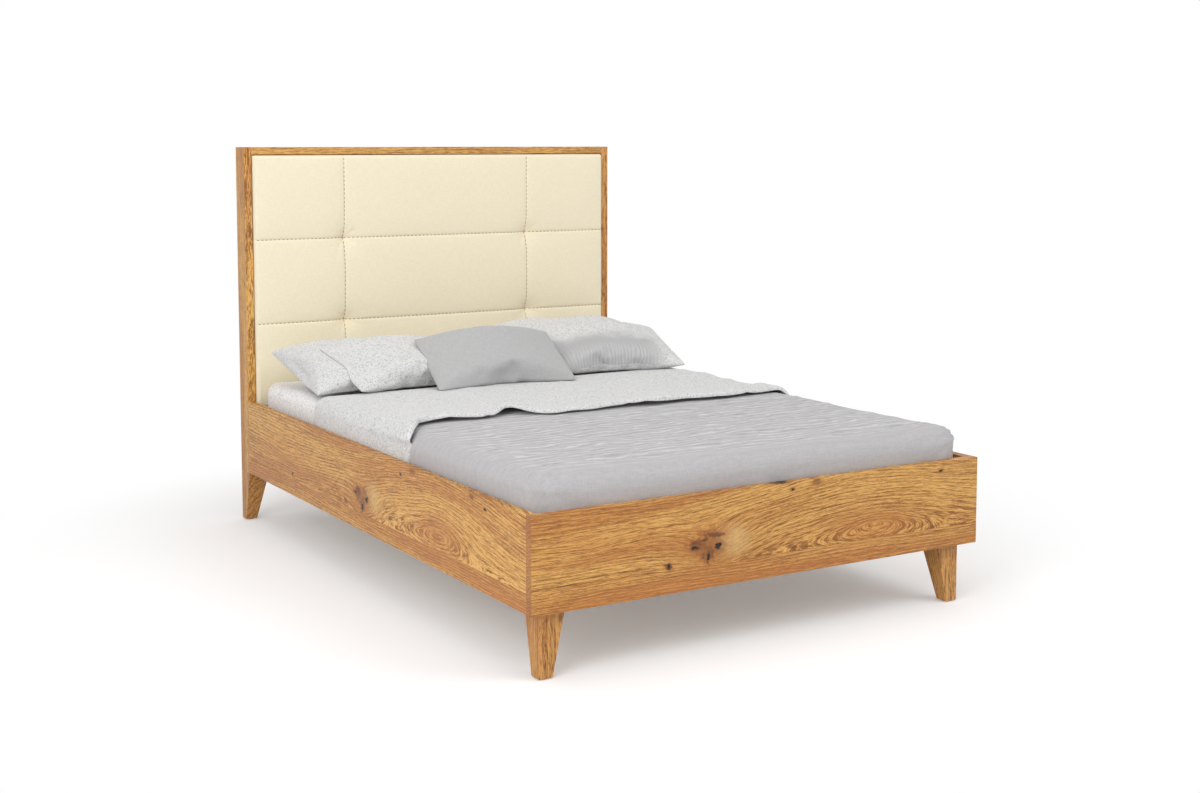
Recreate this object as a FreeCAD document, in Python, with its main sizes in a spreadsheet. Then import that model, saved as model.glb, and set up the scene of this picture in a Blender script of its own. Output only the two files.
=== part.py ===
"""Panel bed in solid oak for a 1400 x 2000 mattress, with an upholstered headboard.

X runs across the bed with the right side positive, Y from the foot to the
headboard, Z up. The origin is on the floor, under the centre of the frame.
Every length is in millimetres. The first sheet holds the sizes that a maker
would choose, the second the places that follow from them.
"""
import FreeCAD, Part
import math
import os

import Sketcher
from FreeCAD import Placement, Rotation, Vector

doc = FreeCAD.newDocument("panel_bed")

FRAME_SIZES = {
    "inner_width": "1406",            # clear width between the side rails
    "inner_length": "2010",           # clear length from headboard to foot panel
    "rail_thickness": "27",
    "foot_thickness": "27",
    "panel_height": "249",            # side rails and foot panel
    "floor_clearance": "174",         # floor to the underside of the panels
    "edge_round": "1.5",              # eased edges of every board
}

HEADBOARD_SIZES = {
    "headboard_height": "1306",
    "headboard_depth": "85",
    "post_width": "27",
    "top_rail_height": "26",
    "lower_board_thickness": "27",
    "lower_board_height": "224",
    "back_panel_thickness": "8",
    "back_panel_inset": "8",          # from the posts' back edge
    "groove_depth": "8",
    "groove_play": "0.4",
    "batten_height": "60",
    "batten_margin": "90",            # from the ends of the upholstered panel
    "tenon_thickness": "8",           # loose tenons in the ends of the cross boards
    "tenon_width": "46",
    "tenon_length": "38",
    "tenon_in_post": "14",
    "tenon_play": "0.3",
    "tenon_edge": "14",               # from the board's edge to its nearest tenon
}

CUSHION_SIZES = {
    "cushion_gap": "2.4",             # shadow gap to the posts and the top rail
    "cushion_foot_gap": "3",          # above the lower board
    "cushion_proud": "9",             # seams stand in front of the frame
    "cushion_crown": "9",             # rise of each padded field above its seams
    "cushion_round": "12",            # rounded rim
    "field_side_slope": "120",        # from an upright seam to the level part of a field
    "field_level_slope": "130",       # from a level seam to the same
    "foam_thickness": "34",
    "cushion_board_thickness": "12",
    "cushion_board_margin": "10",
    "middle_field_width": "734",      # between the two upright seams
    "tuft_width": "26",               # dimple where two seams cross
    "tuft_depth": "7",
}

LEG_SIZES = {
    "foot_leg_side_inset": "39",      # from the outer face of the side rail
    "foot_leg_end_inset": "34",       # from the front face of the foot panel
    "foot_leg_top": "75",
    "head_leg_top": "72",
    "leg_toe": "40",                  # square foot of every corner leg
    "leg_edge_round": "2",
    "glide_thickness": "3",
    "glide_diameter": "28",
    "block_height": "36",             # corner blocks that take the leg bolts
    "foot_block_size": "100",
    "foot_block_corner": "40",
    "head_block_width": "50",
    "leg_bolt_diameter": "10",
    "leg_bolt_reach": "45",           # length that goes into the leg
    "leg_bolt_head": "17",
    "leg_bolt_head_height": "6.5",
    "bolt_play": "0.5",
    "leg_bolt_inset": "26",           # bolt axis from the leg's two upright faces
}

SLAT_SIZES = {
    "slat_count": "14",
    "slat_width": "72",
    "slat_thickness": "20",
    "slat_end_gap": "5",
    "slat_edge_round": "4",
    "slat_deck_height": "300",        # floor to the top of the slats
    "first_slat_gap": "38",           # clear of the foot panel and the headboard
    "cleat_width": "25",
    "cleat_height": "30",
    "cleat_end_gap": "52",            # leaves room for the corner brackets
    "webbing_width": "30",
    "webbing_thickness": "1",
    "webbing_inset": "170",           # from the side rails
    "beam_width": "40",
    "beam_height": "70",
    "beam_end_gap": "1",
    "hanger_thickness": "2.5",
    "hanger_depth": "45",
    "hanger_flange": "22",
    "hanger_cheek_height": "58",
    "hanger_play": "0.4",
    "centre_leg_size": "45",
    "centre_foot_diameter": "42",
    "centre_foot_height": "8",
    "centre_foot_gap": "6",           # thread left showing for levelling
    "stem_diameter": "10",
    "stem_reach": "30",
    "plate_size": "80",
    "plate_thickness": "3",
}

BRACKET_SIZES = {
    "bracket_flange": "48",
    "bracket_thickness": "3",
    "bracket_height": "62",
    "bracket_lift": "40",             # above the underside of the panels
    "bracket_hole_reach": "30",       # from the corner
    "bracket_bolt_diameter": "8",
    "bracket_bolt_reach": "18",       # length that goes into the board
    "bracket_bolt_head": "13",
    "bracket_bolt_head_height": "5.3",
}

BEDDING_SIZES = {
    "soft_clearance": "0.3",
    "mattress_thickness": "194",
    "mattress_side_gap": "13",        # from the side rails
    "mattress_foot_gap": "9",
    "mattress_head_gap": "8",         # from the crown of the upholstery
    "mattress_corner": "60",
    "mattress_round": "36",
    "duvet_thickness": "8",
    "duvet_rail_gap": "8",            # tucked sides to the side rails
    "duvet_foot_gap": "4",
    "duvet_round": "46",
    "duvet_tuck": "40",               # tucked below the top of the rails
    "duvet_head_y": "430",
    "turnback_thickness": "8",
    "turnback_rail_gap": "3",
    "turnback_foot_y": "-232",
    "turnback_head_y": "440",
}

PILLOW_SIZES = {
    "back_pillow_width": "600",
    "back_pillow_depth": "444",
    "back_pillow_thickness": "104",
    "plump_pillow_width": "600",
    "plump_pillow_depth": "444",
    "plump_pillow_thickness": "125",
    "side_pillow_width": "470",
    "side_pillow_depth": "300",
    "side_pillow_thickness": "103",
    "front_pillow_width": "511",
    "front_pillow_depth": "262",
    "front_pillow_thickness": "92",
    "pillow_drawn_in": "14",          # long seams pulled in between the corners
    "pillow_rim": "6",                # thickness along the seams
    "pillow_fullness": "1.35",        # how much sooner it fills from the short seams
    # centre of each pillow, then its slope up to the headboard and its turn
    "pillow_1_x": "-387", "pillow_1_y": "650", "pillow_1_z": "560",
    "pillow_1_slope": "12", "pillow_1_turn": "-0.6",
    "pillow_2_x": "-335", "pillow_2_y": "560", "pillow_2_z": "573",
    "pillow_2_slope": "19", "pillow_2_turn": "5",
    "pillow_3_x": "-46", "pillow_3_y": "434", "pillow_3_z": "580",
    "pillow_3_slope": "33", "pillow_3_turn": "-2",
    "pillow_4_x": "395", "pillow_4_y": "668", "pillow_4_z": "574",
    "pillow_4_slope": "13", "pillow_4_turn": "-4",
    "pillow_5_x": "462", "pillow_5_y": "541", "pillow_5_z": "573",
    "pillow_5_slope": "18", "pillow_5_turn": "-8",
}

PLACES = {
    # the frame in plan
    "half_inner": "=sizes.inner_width / 2",
    "half_width": "=half_inner + sizes.rail_thickness",
    "overall_length": "=sizes.inner_length + sizes.headboard_depth + sizes.foot_thickness",
    "back_y": "=overall_length / 2",
    "front_y": "=-overall_length / 2",
    "head_y": "=back_y - sizes.headboard_depth",
    "foot_y": "=front_y + sizes.foot_thickness",
    "post_inner": "=half_width - sizes.post_width",
    "panel_top": "=sizes.floor_clearance + sizes.panel_height",
    # headboard
    "top_rail_z": "=sizes.headboard_height - sizes.top_rail_height",
    "post_height": "=sizes.headboard_height - sizes.floor_clearance",
    "groove_width": "=sizes.back_panel_thickness + sizes.groove_play",
    "groove_y": "=sizes.headboard_depth - sizes.back_panel_inset - groove_width",
    "panel_bite": "=sizes.groove_depth - sizes.groove_play",
    "lower_board_top": "=sizes.floor_clearance + sizes.lower_board_height",
    "tenon_in_board": "=sizes.tenon_length - sizes.tenon_in_post",
    "tenon_low": "=sizes.tenon_edge",
    "tenon_high": "=sizes.lower_board_height - sizes.tenon_edge - sizes.tenon_width",
    "tenon_top_rail_z": "=(sizes.top_rail_height - sizes.tenon_thickness) / 2",
    "tenon_lower_board_y": "=(sizes.lower_board_thickness - sizes.tenon_thickness) / 2",
    # upholstered panel
    "cushion_half": "=post_inner - sizes.cushion_gap",
    "cushion_low": "=lower_board_top + sizes.cushion_foot_gap",
    "cushion_high": "=top_rail_z - sizes.cushion_gap",
    "cushion_front_y": "=head_y - sizes.cushion_proud",
    "cushion_back_y": "=cushion_front_y + sizes.foam_thickness",
    "cushion_board_back_y": "=cushion_back_y + sizes.cushion_board_thickness",
    "batten_depth": "=head_y + groove_y + sizes.groove_play / 2 - cushion_board_back_y",
    # legs
    "leg_length": "=sizes.floor_clearance - sizes.glide_thickness",
    "foot_leg_x": "=half_width - sizes.foot_leg_side_inset",
    "foot_leg_y": "=front_y + sizes.foot_leg_end_inset",
    "leg_bolt_bore": "=sizes.leg_bolt_diameter + sizes.bolt_play",
    "block_top": "=sizes.floor_clearance + sizes.block_height",
    # where the leg bolts stand, measured from the corner of each block
    "foot_bolt_dx": "=post_inner - foot_leg_x + sizes.leg_bolt_inset",
    "foot_bolt_dy": "=foot_leg_y - foot_y + sizes.leg_bolt_inset",
    "head_bolt_dx": "=sizes.head_block_width / 2",
    "head_block_y": "=head_y + sizes.lower_board_thickness",
    "head_block_depth": "=head_y + groove_y - head_block_y",
    "head_bolt_dy": "=head_block_depth / 2",
    # slats and what carries them
    "slat_low": "=sizes.slat_deck_height - sizes.slat_thickness",
    "slat_run": "=sizes.inner_length - 2 * sizes.first_slat_gap - sizes.slat_width",
    "slat_pitch": "=slat_run / (sizes.slat_count - 1)",
    "beam_low": "=slat_low - sizes.beam_height",
    "beam_length": "=sizes.inner_length - 2 * sizes.beam_end_gap",
    "hanger_inner": "=sizes.beam_width + 2 * sizes.hanger_play",
    "hanger_outer": "=hanger_inner + 2 * sizes.hanger_thickness",
    "hanger_low": "=beam_low - sizes.hanger_thickness",
    "centre_leg_low": "=sizes.centre_foot_height + sizes.centre_foot_gap",
    "plate_low": "=beam_low - sizes.plate_thickness",
    "stem_bore": "=sizes.stem_diameter + sizes.bolt_play",
    # corner brackets
    "bracket_low": "=sizes.floor_clearance + sizes.bracket_lift",
    "bracket_bolt_z": "=bracket_low + sizes.bracket_height / 2",
    "bracket_bore": "=sizes.bracket_bolt_diameter + sizes.bolt_play",
    # bedding
    "mattress_low": "=sizes.slat_deck_height + sizes.webbing_thickness + sizes.soft_clearance",
    "mattress_top": "=mattress_low + sizes.mattress_thickness",
    "mattress_half": "=half_inner - sizes.mattress_side_gap",
    "mattress_foot": "=foot_y + sizes.mattress_foot_gap",
    "mattress_head": "=cushion_front_y - sizes.cushion_crown - sizes.mattress_head_gap",
    "duvet_hem": "=panel_top - sizes.duvet_tuck",
    "duvet_top": "=mattress_top + sizes.soft_clearance + sizes.duvet_thickness",
    "duvet_half": "=half_inner - sizes.duvet_rail_gap",
    "duvet_foot": "=foot_y + sizes.duvet_foot_gap",
    "turnback_top": "=duvet_top + sizes.soft_clearance + sizes.turnback_thickness",
    "turnback_half": "=half_inner - sizes.turnback_rail_gap",
    "pillow_bed": "=turnback_top + sizes.soft_clearance",
}


def fill_sheet(name, cells):
    """Write one named value or formula in each row of a new sheet."""
    sheet = doc.addObject("Spreadsheet::Sheet", name)
    for row, (alias, content) in enumerate(cells.items(), start=1):
        sheet.set(f"A{row}", alias)
        sheet.set(f"B{row}", content)
        sheet.setAlias(f"B{row}", alias)
    doc.recompute()
    return sheet


sizes = fill_sheet("sizes", {
    **FRAME_SIZES, **HEADBOARD_SIZES, **CUSHION_SIZES, **LEG_SIZES,
    **SLAT_SIZES, **BRACKET_SIZES, **BEDDING_SIZES, **PILLOW_SIZES,
})
places = fill_sheet("places", PLACES)

sub_parts = {}
SIDES = (("left", -1), ("right", 1))


def keep(sub_part, label):
    """Name a finished sub-part and put it on the list of pieces."""
    sub_part.Label = label
    sub_parts[label] = sub_part
    return sub_part


def place(item, x, y, z, rotation=None):
    """Turn an object, then tie its position to three expressions."""
    if rotation is not None:
        item.Placement = Placement(Vector(), rotation)
    item.setExpression("Placement.Base.x", x)
    item.setExpression("Placement.Base.y", y)
    item.setExpression("Placement.Base.z", z)
    return item


def signed(sign, expression):
    """Return the expression on the left (-1) or on the right (+1) of the bed."""
    return f"{sign} * ({expression})"


# ---------------------------------------------------------------- modelling helpers

def new_body(name):
    return doc.addObject("PartDesign::Body", name)


def new_sketch(body, role, offset=None):
    """Start a sketch on one of the body's own origin planes."""
    sketch = body.newObject("Sketcher::SketchObject", f"{body.Name}_sketch")
    plane = next(item for item in body.Origin.OriginFeatures if item.Role == role)
    sketch.AttachmentSupport = [(plane, "")]
    sketch.MapMode = "FlatFace"
    if offset is not None:
        sketch.setExpression("AttachmentOffset.Base.z", offset)
    return sketch


def dimension(sketch, expression, kind, *where):
    """Add a driving dimension that follows the sheet."""
    index = sketch.addConstraint(Sketcher.Constraint(kind, *where, 10.0))
    sketch.setExpression(f"Constraints[{index}]", expression)


def offset_point(sketch, geometry, point, across, up, quadrant):
    """Hold a point at two distances from the sketch origin, inside one quadrant."""
    origin = (-1, 1)
    for kind, distance, sign, axis in (("DistanceX", across, quadrant[0], -2),
                                       ("DistanceY", up, quadrant[1], -1)):
        if distance is None:
            sketch.addConstraint(Sketcher.Constraint("PointOnObject", geometry, point, axis))
        elif sign > 0:
            dimension(sketch, distance, kind, *origin, geometry, point)
        else:
            dimension(sketch, distance, kind, geometry, point, *origin)


def span(sketch, expression, kind, line, sign):
    """Give a line its length and keep it pointing the way it was drawn."""
    ends = (line, 1, line, 2) if sign > 0 else (line, 2, line, 1)
    dimension(sketch, expression, kind, *ends)


def draw_rectangle(sketch, wide, tall, across=None, up=None, quadrant=(1, 1)):
    """Draw a rectangle that opens into one quadrant from a corner near the origin."""
    start = 1.0
    size = 10.0
    corner_signs = ((0, 0), (1, 0), (1, 1), (0, 1))
    points = [Vector(quadrant[0] * (start + size * step_x), quadrant[1] * (start + size * step_y))
              for step_x, step_y in corner_signs]
    first = len(sketch.Geometry)
    for index in range(4):
        sketch.addGeometry(Part.LineSegment(points[index], points[(index + 1) % 4]), False)
    for index in range(4):
        sketch.addConstraint(Sketcher.Constraint(
            "Coincident", first + index, 2, first + (index + 1) % 4, 1))
    for index, kind in enumerate(("Horizontal", "Vertical", "Horizontal", "Vertical")):
        sketch.addConstraint(Sketcher.Constraint(kind, first + index))
    offset_point(sketch, first, 1, across, up, quadrant)
    span(sketch, wide, "DistanceX", first, quadrant[0])
    span(sketch, tall, "DistanceY", first + 1, quadrant[1])


def draw_circle(sketch, across, up, diameter, quadrant=(1, 1)):
    """Draw a circle at two distances from the origin."""
    centre = Vector(20.0 * quadrant[0], 20.0 * quadrant[1])
    index = sketch.addGeometry(Part.Circle(centre, Vector(0, 0, 1), 2.0))
    offset_point(sketch, index, 3, across, up, quadrant)
    dimension(sketch, diameter, "Diameter", index)


def pad(body, sketch, length, backwards=False):
    feature = body.newObject("PartDesign::Pad", f"{body.Name}_pad")
    feature.Profile = sketch
    feature.Reversed = backwards
    feature.setExpression("Length", length)
    doc.recompute()
    return feature


def pocket(body, sketch, depth, backwards=False):
    """Cut a sketch into the body and make sure that it removed material."""
    before = body.Tip.Shape.Volume
    feature = body.newObject("PartDesign::Pocket", f"{body.Name}_pocket")
    feature.Profile = sketch
    feature.Reversed = backwards
    feature.setExpression("Length", depth)
    doc.recompute()
    if feature.Shape.Volume >= before:
        raise RuntimeError(f"{feature.Name} cuts nothing")
    return feature


def edges_along(shape, direction):
    """Name the straight edges that run along a direction."""
    names = []
    for number, edge in enumerate(shape.Edges, start=1):
        tangent = edge.tangentAt(edge.FirstParameter)
        if abs(tangent.dot(direction)) > 0.999:
            names.append(f"Edge{number}")
    return names


def round_edges(body, names, radius):
    base = body.Tip
    feature = body.newObject("PartDesign::Fillet", f"{body.Name}_round")
    feature.Base = (base, names)
    feature.setExpression("Radius", radius)
    doc.recompute()
    return feature


AXES = {"X": Vector(1, 0, 0), "Y": Vector(0, 1, 0), "Z": Vector(0, 0, 1)}


def board(label, wide, deep, tall, at, grain, radius="sizes.edge_round"):
    """Make a board whose long edges, along the grain, are eased."""
    body = new_body(label)
    sketch = new_sketch(body, "XY_Plane")
    draw_rectangle(sketch, wide, deep)
    block = pad(body, sketch, tall)
    round_edges(body, edges_along(block.Shape, AXES[grain]), radius)
    place(body, *at)
    return keep(body, label)


def drill_x(body, face, holes, diameter, depth, towards):
    """Drill holes along X from a face; holes are (y, z) pairs."""
    sketch = new_sketch(body, "YZ_Plane", face)
    for across, up in holes:
        draw_circle(sketch, across, up, diameter)
    pocket(body, sketch, depth, backwards=towards > 0)


def drill_y(body, face, holes, diameter, depth, towards):
    """Drill holes along Y from a face; holes are (x, z) pairs."""
    sketch = new_sketch(body, "XZ_Plane", None if face is None else f"-({face})")
    for across, up in holes:
        draw_circle(sketch, across, up, diameter)
    pocket(body, sketch, depth, backwards=towards < 0)


def drill_z(body, face, holes, diameter, depth, quadrant=(1, 1)):
    """Drill holes straight down from a face; holes are (x, y) pairs."""
    sketch = new_sketch(body, "XY_Plane", face)
    for across, up in holes:
        draw_circle(sketch, across, up, diameter, quadrant)
    pocket(body, sketch, depth)


def plain_box(label, wide, deep, tall, at):
    """Make a square-cut sheet or strip."""
    box = doc.addObject("Part::Box", label)
    box.setExpression("Length", wide)
    box.setExpression("Width", deep)
    box.setExpression("Height", tall)
    place(box, *at)
    return keep(box, label)


def cylinder(name, diameter, height, at, rotation=None):
    rod = doc.addObject("Part::Cylinder", name)
    rod.setExpression("Radius", f"({diameter}) / 2")
    rod.setExpression("Height", height)
    place(rod, *at, rotation)
    return rod


def group(label, members):
    """Keep identical loose pieces together as one sub-part."""
    compound = doc.addObject("Part::Compound", label)
    compound.Links = members
    return keep(compound, label)


# ---------------------------------------------------------------- headboard frame

BRACKET_HOLE_Z = "places.bracket_bolt_z - sizes.floor_clearance"
FROM_LEFT = "sizes.bracket_hole_reach"

# Loose tenons, each as its lower corner (y, z) and its size (y, z) in the end of a board.
TOP_RAIL_TENONS = (
    ("sizes.tenon_edge", "places.tenon_top_rail_z", "sizes.tenon_width", "sizes.tenon_thickness"),
)
LOWER_BOARD_TENONS = tuple(
    ("places.tenon_lower_board_y", level, "sizes.tenon_thickness", "sizes.tenon_width")
    for level in ("places.tenon_low", "places.tenon_high"))


def mortise(body, face, tenons, rise, depth, towards):
    """Cut a slot for each tenon into the end or side of a board."""
    for y, z, deep, tall in tenons:
        sketch = new_sketch(body, "YZ_Plane", face)
        draw_rectangle(sketch, f"{deep} + sizes.tenon_play", f"{tall} + sizes.tenon_play",
                       f"{y} - sizes.tenon_play / 2", f"{z} - sizes.tenon_play / 2 + {rise}")
        pocket(body, sketch, f"{depth} + sizes.tenon_play", backwards=towards > 0)


def mortise_both_ends(body, length, tenons):
    for face, towards in ((None, 1), (length, -1)):
        mortise(body, face, tenons, "0", "places.tenon_in_board", towards)


def make_post(side, sign):
    """A full-height upright, grooved for the back panel and slotted for the tenons."""
    outer_x = "-places.half_width" if sign < 0 else "places.post_inner"
    post = board(f"headboard_post_{side}", "sizes.post_width", "sizes.headboard_depth",
                 "places.post_height", (outer_x, "places.head_y", "sizes.floor_clearance"), "Z")
    inner_face = "sizes.post_width" if sign < 0 else None
    groove = new_sketch(post, "XY_Plane")
    groove_x = "sizes.post_width - sizes.groove_depth" if sign < 0 else None
    draw_rectangle(groove, "sizes.groove_depth", "places.groove_width", groove_x, "places.groove_y")
    pocket(post, groove, "places.post_height", backwards=True)
    top_rail_rise = "places.post_height - sizes.top_rail_height"
    mortise(post, inner_face, TOP_RAIL_TENONS, top_rail_rise, "sizes.tenon_in_post", sign)
    mortise(post, inner_face, LOWER_BOARD_TENONS, "0", "sizes.tenon_in_post", sign)


def make_headboard_frame():
    for side, sign in SIDES:
        make_post(side, sign)

    between_posts = "2 * places.post_inner"
    top_rail = board("headboard_top_rail", between_posts, "sizes.headboard_depth",
                     "sizes.top_rail_height",
                     ("-places.post_inner", "places.head_y", "places.top_rail_z"), "X")
    groove = new_sketch(top_rail, "YZ_Plane")
    draw_rectangle(groove, "places.groove_width", "sizes.groove_depth", "places.groove_y")
    pocket(top_rail, groove, between_posts, backwards=True)
    mortise_both_ends(top_rail, between_posts, TOP_RAIL_TENONS)

    lower_board = board("headboard_lower_board", between_posts, "sizes.lower_board_thickness",
                        "sizes.lower_board_height",
                        ("-places.post_inner", "places.head_y", "sizes.floor_clearance"), "X")
    mortise_both_ends(lower_board, between_posts, LOWER_BOARD_TENONS)
    from_right = f"{between_posts} - {FROM_LEFT}"
    drill_y(lower_board, None, [(x, BRACKET_HOLE_Z) for x in (FROM_LEFT, from_right)],
            "places.bracket_bore", "sizes.bracket_bolt_reach + sizes.bolt_play", towards=1)

    plain_box("headboard_back_panel", f"{between_posts} + 2 * places.panel_bite",
              "sizes.back_panel_thickness",
              "places.top_rail_z + places.panel_bite - sizes.floor_clearance",
              ("-places.post_inner - places.panel_bite",
               "places.head_y + places.groove_y + sizes.groove_play / 2",
               "sizes.floor_clearance"))


def make_headboard_tenons():
    """Six loose tenons: one in each end of the top rail, two in each end of the lower board."""
    tenons = []
    spots = [("places.top_rail_z", spot) for spot in TOP_RAIL_TENONS]
    spots += [("sizes.floor_clearance", spot) for spot in LOWER_BOARD_TENONS]
    for side, sign in SIDES:
        start = ("-places.post_inner - sizes.tenon_in_post" if sign < 0
                 else "places.post_inner - places.tenon_in_board")
        for base, (y, z, deep, tall) in spots:
            tenon = doc.addObject("Part::Box", f"tenon_{side}")
            tenon.setExpression("Length", "sizes.tenon_length")
            tenon.setExpression("Width", deep)
            tenon.setExpression("Height", tall)
            tenons.append(place(tenon, start, f"places.head_y + {y}", f"{base} + {z}"))
    group("headboard_tenons", tenons)


# ---------------------------------------------------------------- upholstered panel

def arched_profile(low, high, seams, slope, point):
    """Outline of the upholstery in one direction: flat back, rounded rim, crowned fields.

    Each field climbs from its seam in an arc as long as the slope, or half the field
    where that is shorter, then runs level. The point function turns a place along the
    outline and a depth into a vector.
    """
    rim = sizes.cushion_round
    front = places.cushion_front_y
    back = places.cushion_back_y
    crown = sizes.cushion_crown
    corner = rim * (1 - math.sqrt(0.5))
    edges = [
        Part.LineSegment(point(low, back), point(low, front + rim)),
        Part.Arc(point(low, front + rim), point(low + corner, front + corner),
                 point(low + rim, front)),
    ]
    stops = [low + rim, *seams, high - rim]
    for start, end in zip(stops, stops[1:]):
        climb = min(slope, (end - start) / 2)
        radius = (climb ** 2 + crown ** 2) / (2 * crown)
        half_way = radius - math.sqrt(radius ** 2 - (climb / 2) ** 2)
        climbed = start + climb
        falling = end - climb
        edges.append(Part.Arc(point(start, front),
                              point(start + climb / 2, front - crown + half_way),
                              point(climbed, front - crown)))
        if falling > climbed:
            edges.append(Part.LineSegment(point(climbed, front - crown),
                                          point(falling, front - crown)))
        edges.append(Part.Arc(point(falling, front - crown),
                              point(end - climb / 2, front - crown + half_way),
                              point(end, front)))
    edges += [
        Part.Arc(point(high - rim, front), point(high - corner, front + corner),
                 point(high, front + rim)),
        Part.LineSegment(point(high, front + rim), point(high, back)),
        Part.LineSegment(point(high, back), point(low, back)),
    ]
    return Part.Face(Part.Wire([edge.toShape() for edge in edges]))


def make_upholstered_panel():
    """Nine crowned fields between two upright and two level seams, tufted where they cross."""
    half = places.cushion_half
    low = places.cushion_low
    high = places.cushion_high
    seam = sizes.middle_field_width / 2
    field = (high - low) / 3
    levels = (low + field, high - field)
    across = arched_profile(-half, half, (-seam, seam), sizes.field_side_slope,
                            lambda x, y: Vector(x, y, low))
    upward = arched_profile(low, high, levels, sizes.field_level_slope,
                            lambda z, y: Vector(-half, y, z))
    shape = across.extrude(Vector(0, 0, high - low)).common(upward.extrude(Vector(2 * half, 0, 0)))
    for x in (-seam, seam):
        for z in levels:
            tip = Vector(x, places.cushion_front_y + sizes.tuft_depth, z)
            dimple = Part.makeCone(1.0, sizes.tuft_width / 2, sizes.tuft_depth + 2, tip,
                                   Vector(0, -1, 0))
            shape = shape.cut(dimple)
    cushion = doc.addObject("Part::Feature", "headboard_cushion")
    cushion.Shape = max(shape.Solids, key=lambda solid: solid.Volume)
    keep(cushion, "headboard_cushion")

    margin = "sizes.cushion_board_margin"
    plain_box("cushion_board", f"2 * (places.cushion_half - {margin})",
              "sizes.cushion_board_thickness",
              f"places.cushion_high - places.cushion_low - 2 * {margin}",
              (f"-places.cushion_half + {margin}", "places.cushion_back_y",
               f"places.cushion_low + {margin}"))
    levels = {
        "cushion_batten_lower": "places.cushion_low + sizes.batten_margin",
        "cushion_batten_upper":
            "places.cushion_high - sizes.batten_margin - sizes.batten_height",
    }
    for label, level in levels.items():
        board(label, "2 * places.post_inner", "places.batten_depth", "sizes.batten_height",
              ("-places.post_inner", "places.cushion_board_back_y", level), "X")


# ---------------------------------------------------------------- side rails and foot panel

def make_side_rail(side, sign):
    outer_x = "-places.half_width" if sign < 0 else "places.half_inner"
    rail = board(f"side_rail_{side}", "sizes.rail_thickness", "sizes.inner_length",
                 "sizes.panel_height", (outer_x, "places.foot_y", "sizes.floor_clearance"), "Y")
    inner_face = "sizes.rail_thickness" if sign < 0 else None
    ends = (FROM_LEFT, f"sizes.inner_length - {FROM_LEFT}")
    drill_x(rail, inner_face, [(y, BRACKET_HOLE_Z) for y in ends],
            "places.bracket_bore", "sizes.bracket_bolt_reach + sizes.bolt_play", towards=sign)


def make_foot_panel():
    panel = board("foot_panel", "2 * places.half_width", "sizes.foot_thickness",
                  "sizes.panel_height",
                  ("-places.half_width", "places.front_y", "sizes.floor_clearance"), "X")
    near = f"sizes.rail_thickness + {FROM_LEFT}"
    far = f"2 * places.half_width - sizes.rail_thickness - {FROM_LEFT}"
    drill_y(panel, "sizes.foot_thickness", [(x, BRACKET_HOLE_Z) for x in (near, far)],
            "places.bracket_bore", "sizes.bracket_bolt_reach + sizes.bolt_play", towards=-1)


# ---------------------------------------------------------------- legs and corner blocks

CORNERS = {
    # name: (X side, way the leg grows in X, way it grows in Y)
    "foot_left": (-1, 1, 1),
    "foot_right": (1, -1, 1),
    "head_left": (-1, 1, -1),
    "head_right": (1, -1, -1),
}


def draw_wedge(sketch, top, grow):
    """Draw the waste that the taper takes off: nothing at the top, all but the toe below."""
    sign = math.copysign(1.0, grow)
    toe = Vector(sign * 10, 0)
    edge = Vector(sign * 20, 0)
    peak = Vector(sign * 20, 30)
    for start, end in ((toe, edge), (edge, peak), (peak, toe)):
        sketch.addGeometry(Part.LineSegment(start, end), False)
    for index in range(3):
        sketch.addConstraint(Sketcher.Constraint("Coincident", index, 2, (index + 1) % 3, 1))
    sketch.addConstraint(Sketcher.Constraint("Horizontal", 0))
    sketch.addConstraint(Sketcher.Constraint("Vertical", 1))
    offset_point(sketch, 0, 1, "sizes.leg_toe", None, (sign, 1))
    span(sketch, f"{top} - sizes.leg_toe", "DistanceX", 0, sign)
    span(sketch, "places.leg_length", "DistanceY", 1, 1)


def make_leg(name, side, grow_x, grow_y):
    """A leg with two upright outer faces and two that taper to the toe."""
    at_foot = grow_y > 0
    quadrant = (grow_x, grow_y)
    top_wide = "sizes.foot_leg_top" if at_foot else "sizes.head_leg_top"
    top_deep = "sizes.foot_leg_top" if at_foot else "sizes.headboard_depth"
    leg = new_body(f"leg_{name}")
    blank = new_sketch(leg, "XY_Plane")
    draw_rectangle(blank, top_wide, top_deep, quadrant=quadrant)
    pad(leg, blank, "places.leg_length")
    inner_side = new_sketch(leg, "XZ_Plane")
    draw_wedge(inner_side, top_wide, grow_x)
    pocket(leg, inner_side, top_deep, backwards=grow_y < 0)
    inner_end = new_sketch(leg, "YZ_Plane")
    draw_wedge(inner_end, top_deep, grow_y)
    pocket(leg, inner_end, top_wide, backwards=grow_x > 0)
    upright = [f"Edge{number}" for number, edge in enumerate(leg.Tip.Shape.Edges, start=1)
               if abs(edge.tangentAt(edge.FirstParameter).z) > 0.5]
    round_edges(leg, upright, "sizes.leg_edge_round")
    if at_foot:
        bolt = ("sizes.leg_bolt_inset", "sizes.leg_bolt_inset")
        corner = (signed(side, "places.foot_leg_x"), "places.foot_leg_y")
    else:
        bolt = ("sizes.post_width + places.head_bolt_dx",
                "sizes.headboard_depth - sizes.lower_board_thickness - places.head_bolt_dy")
        corner = (signed(side, "places.half_width"), "places.back_y")
    drill_z(leg, "places.leg_length", [bolt], "places.leg_bolt_bore",
            "sizes.leg_bolt_reach + sizes.bolt_play", quadrant)
    place(leg, *corner, "sizes.glide_thickness")
    keep(leg, f"leg_{name}")


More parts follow.
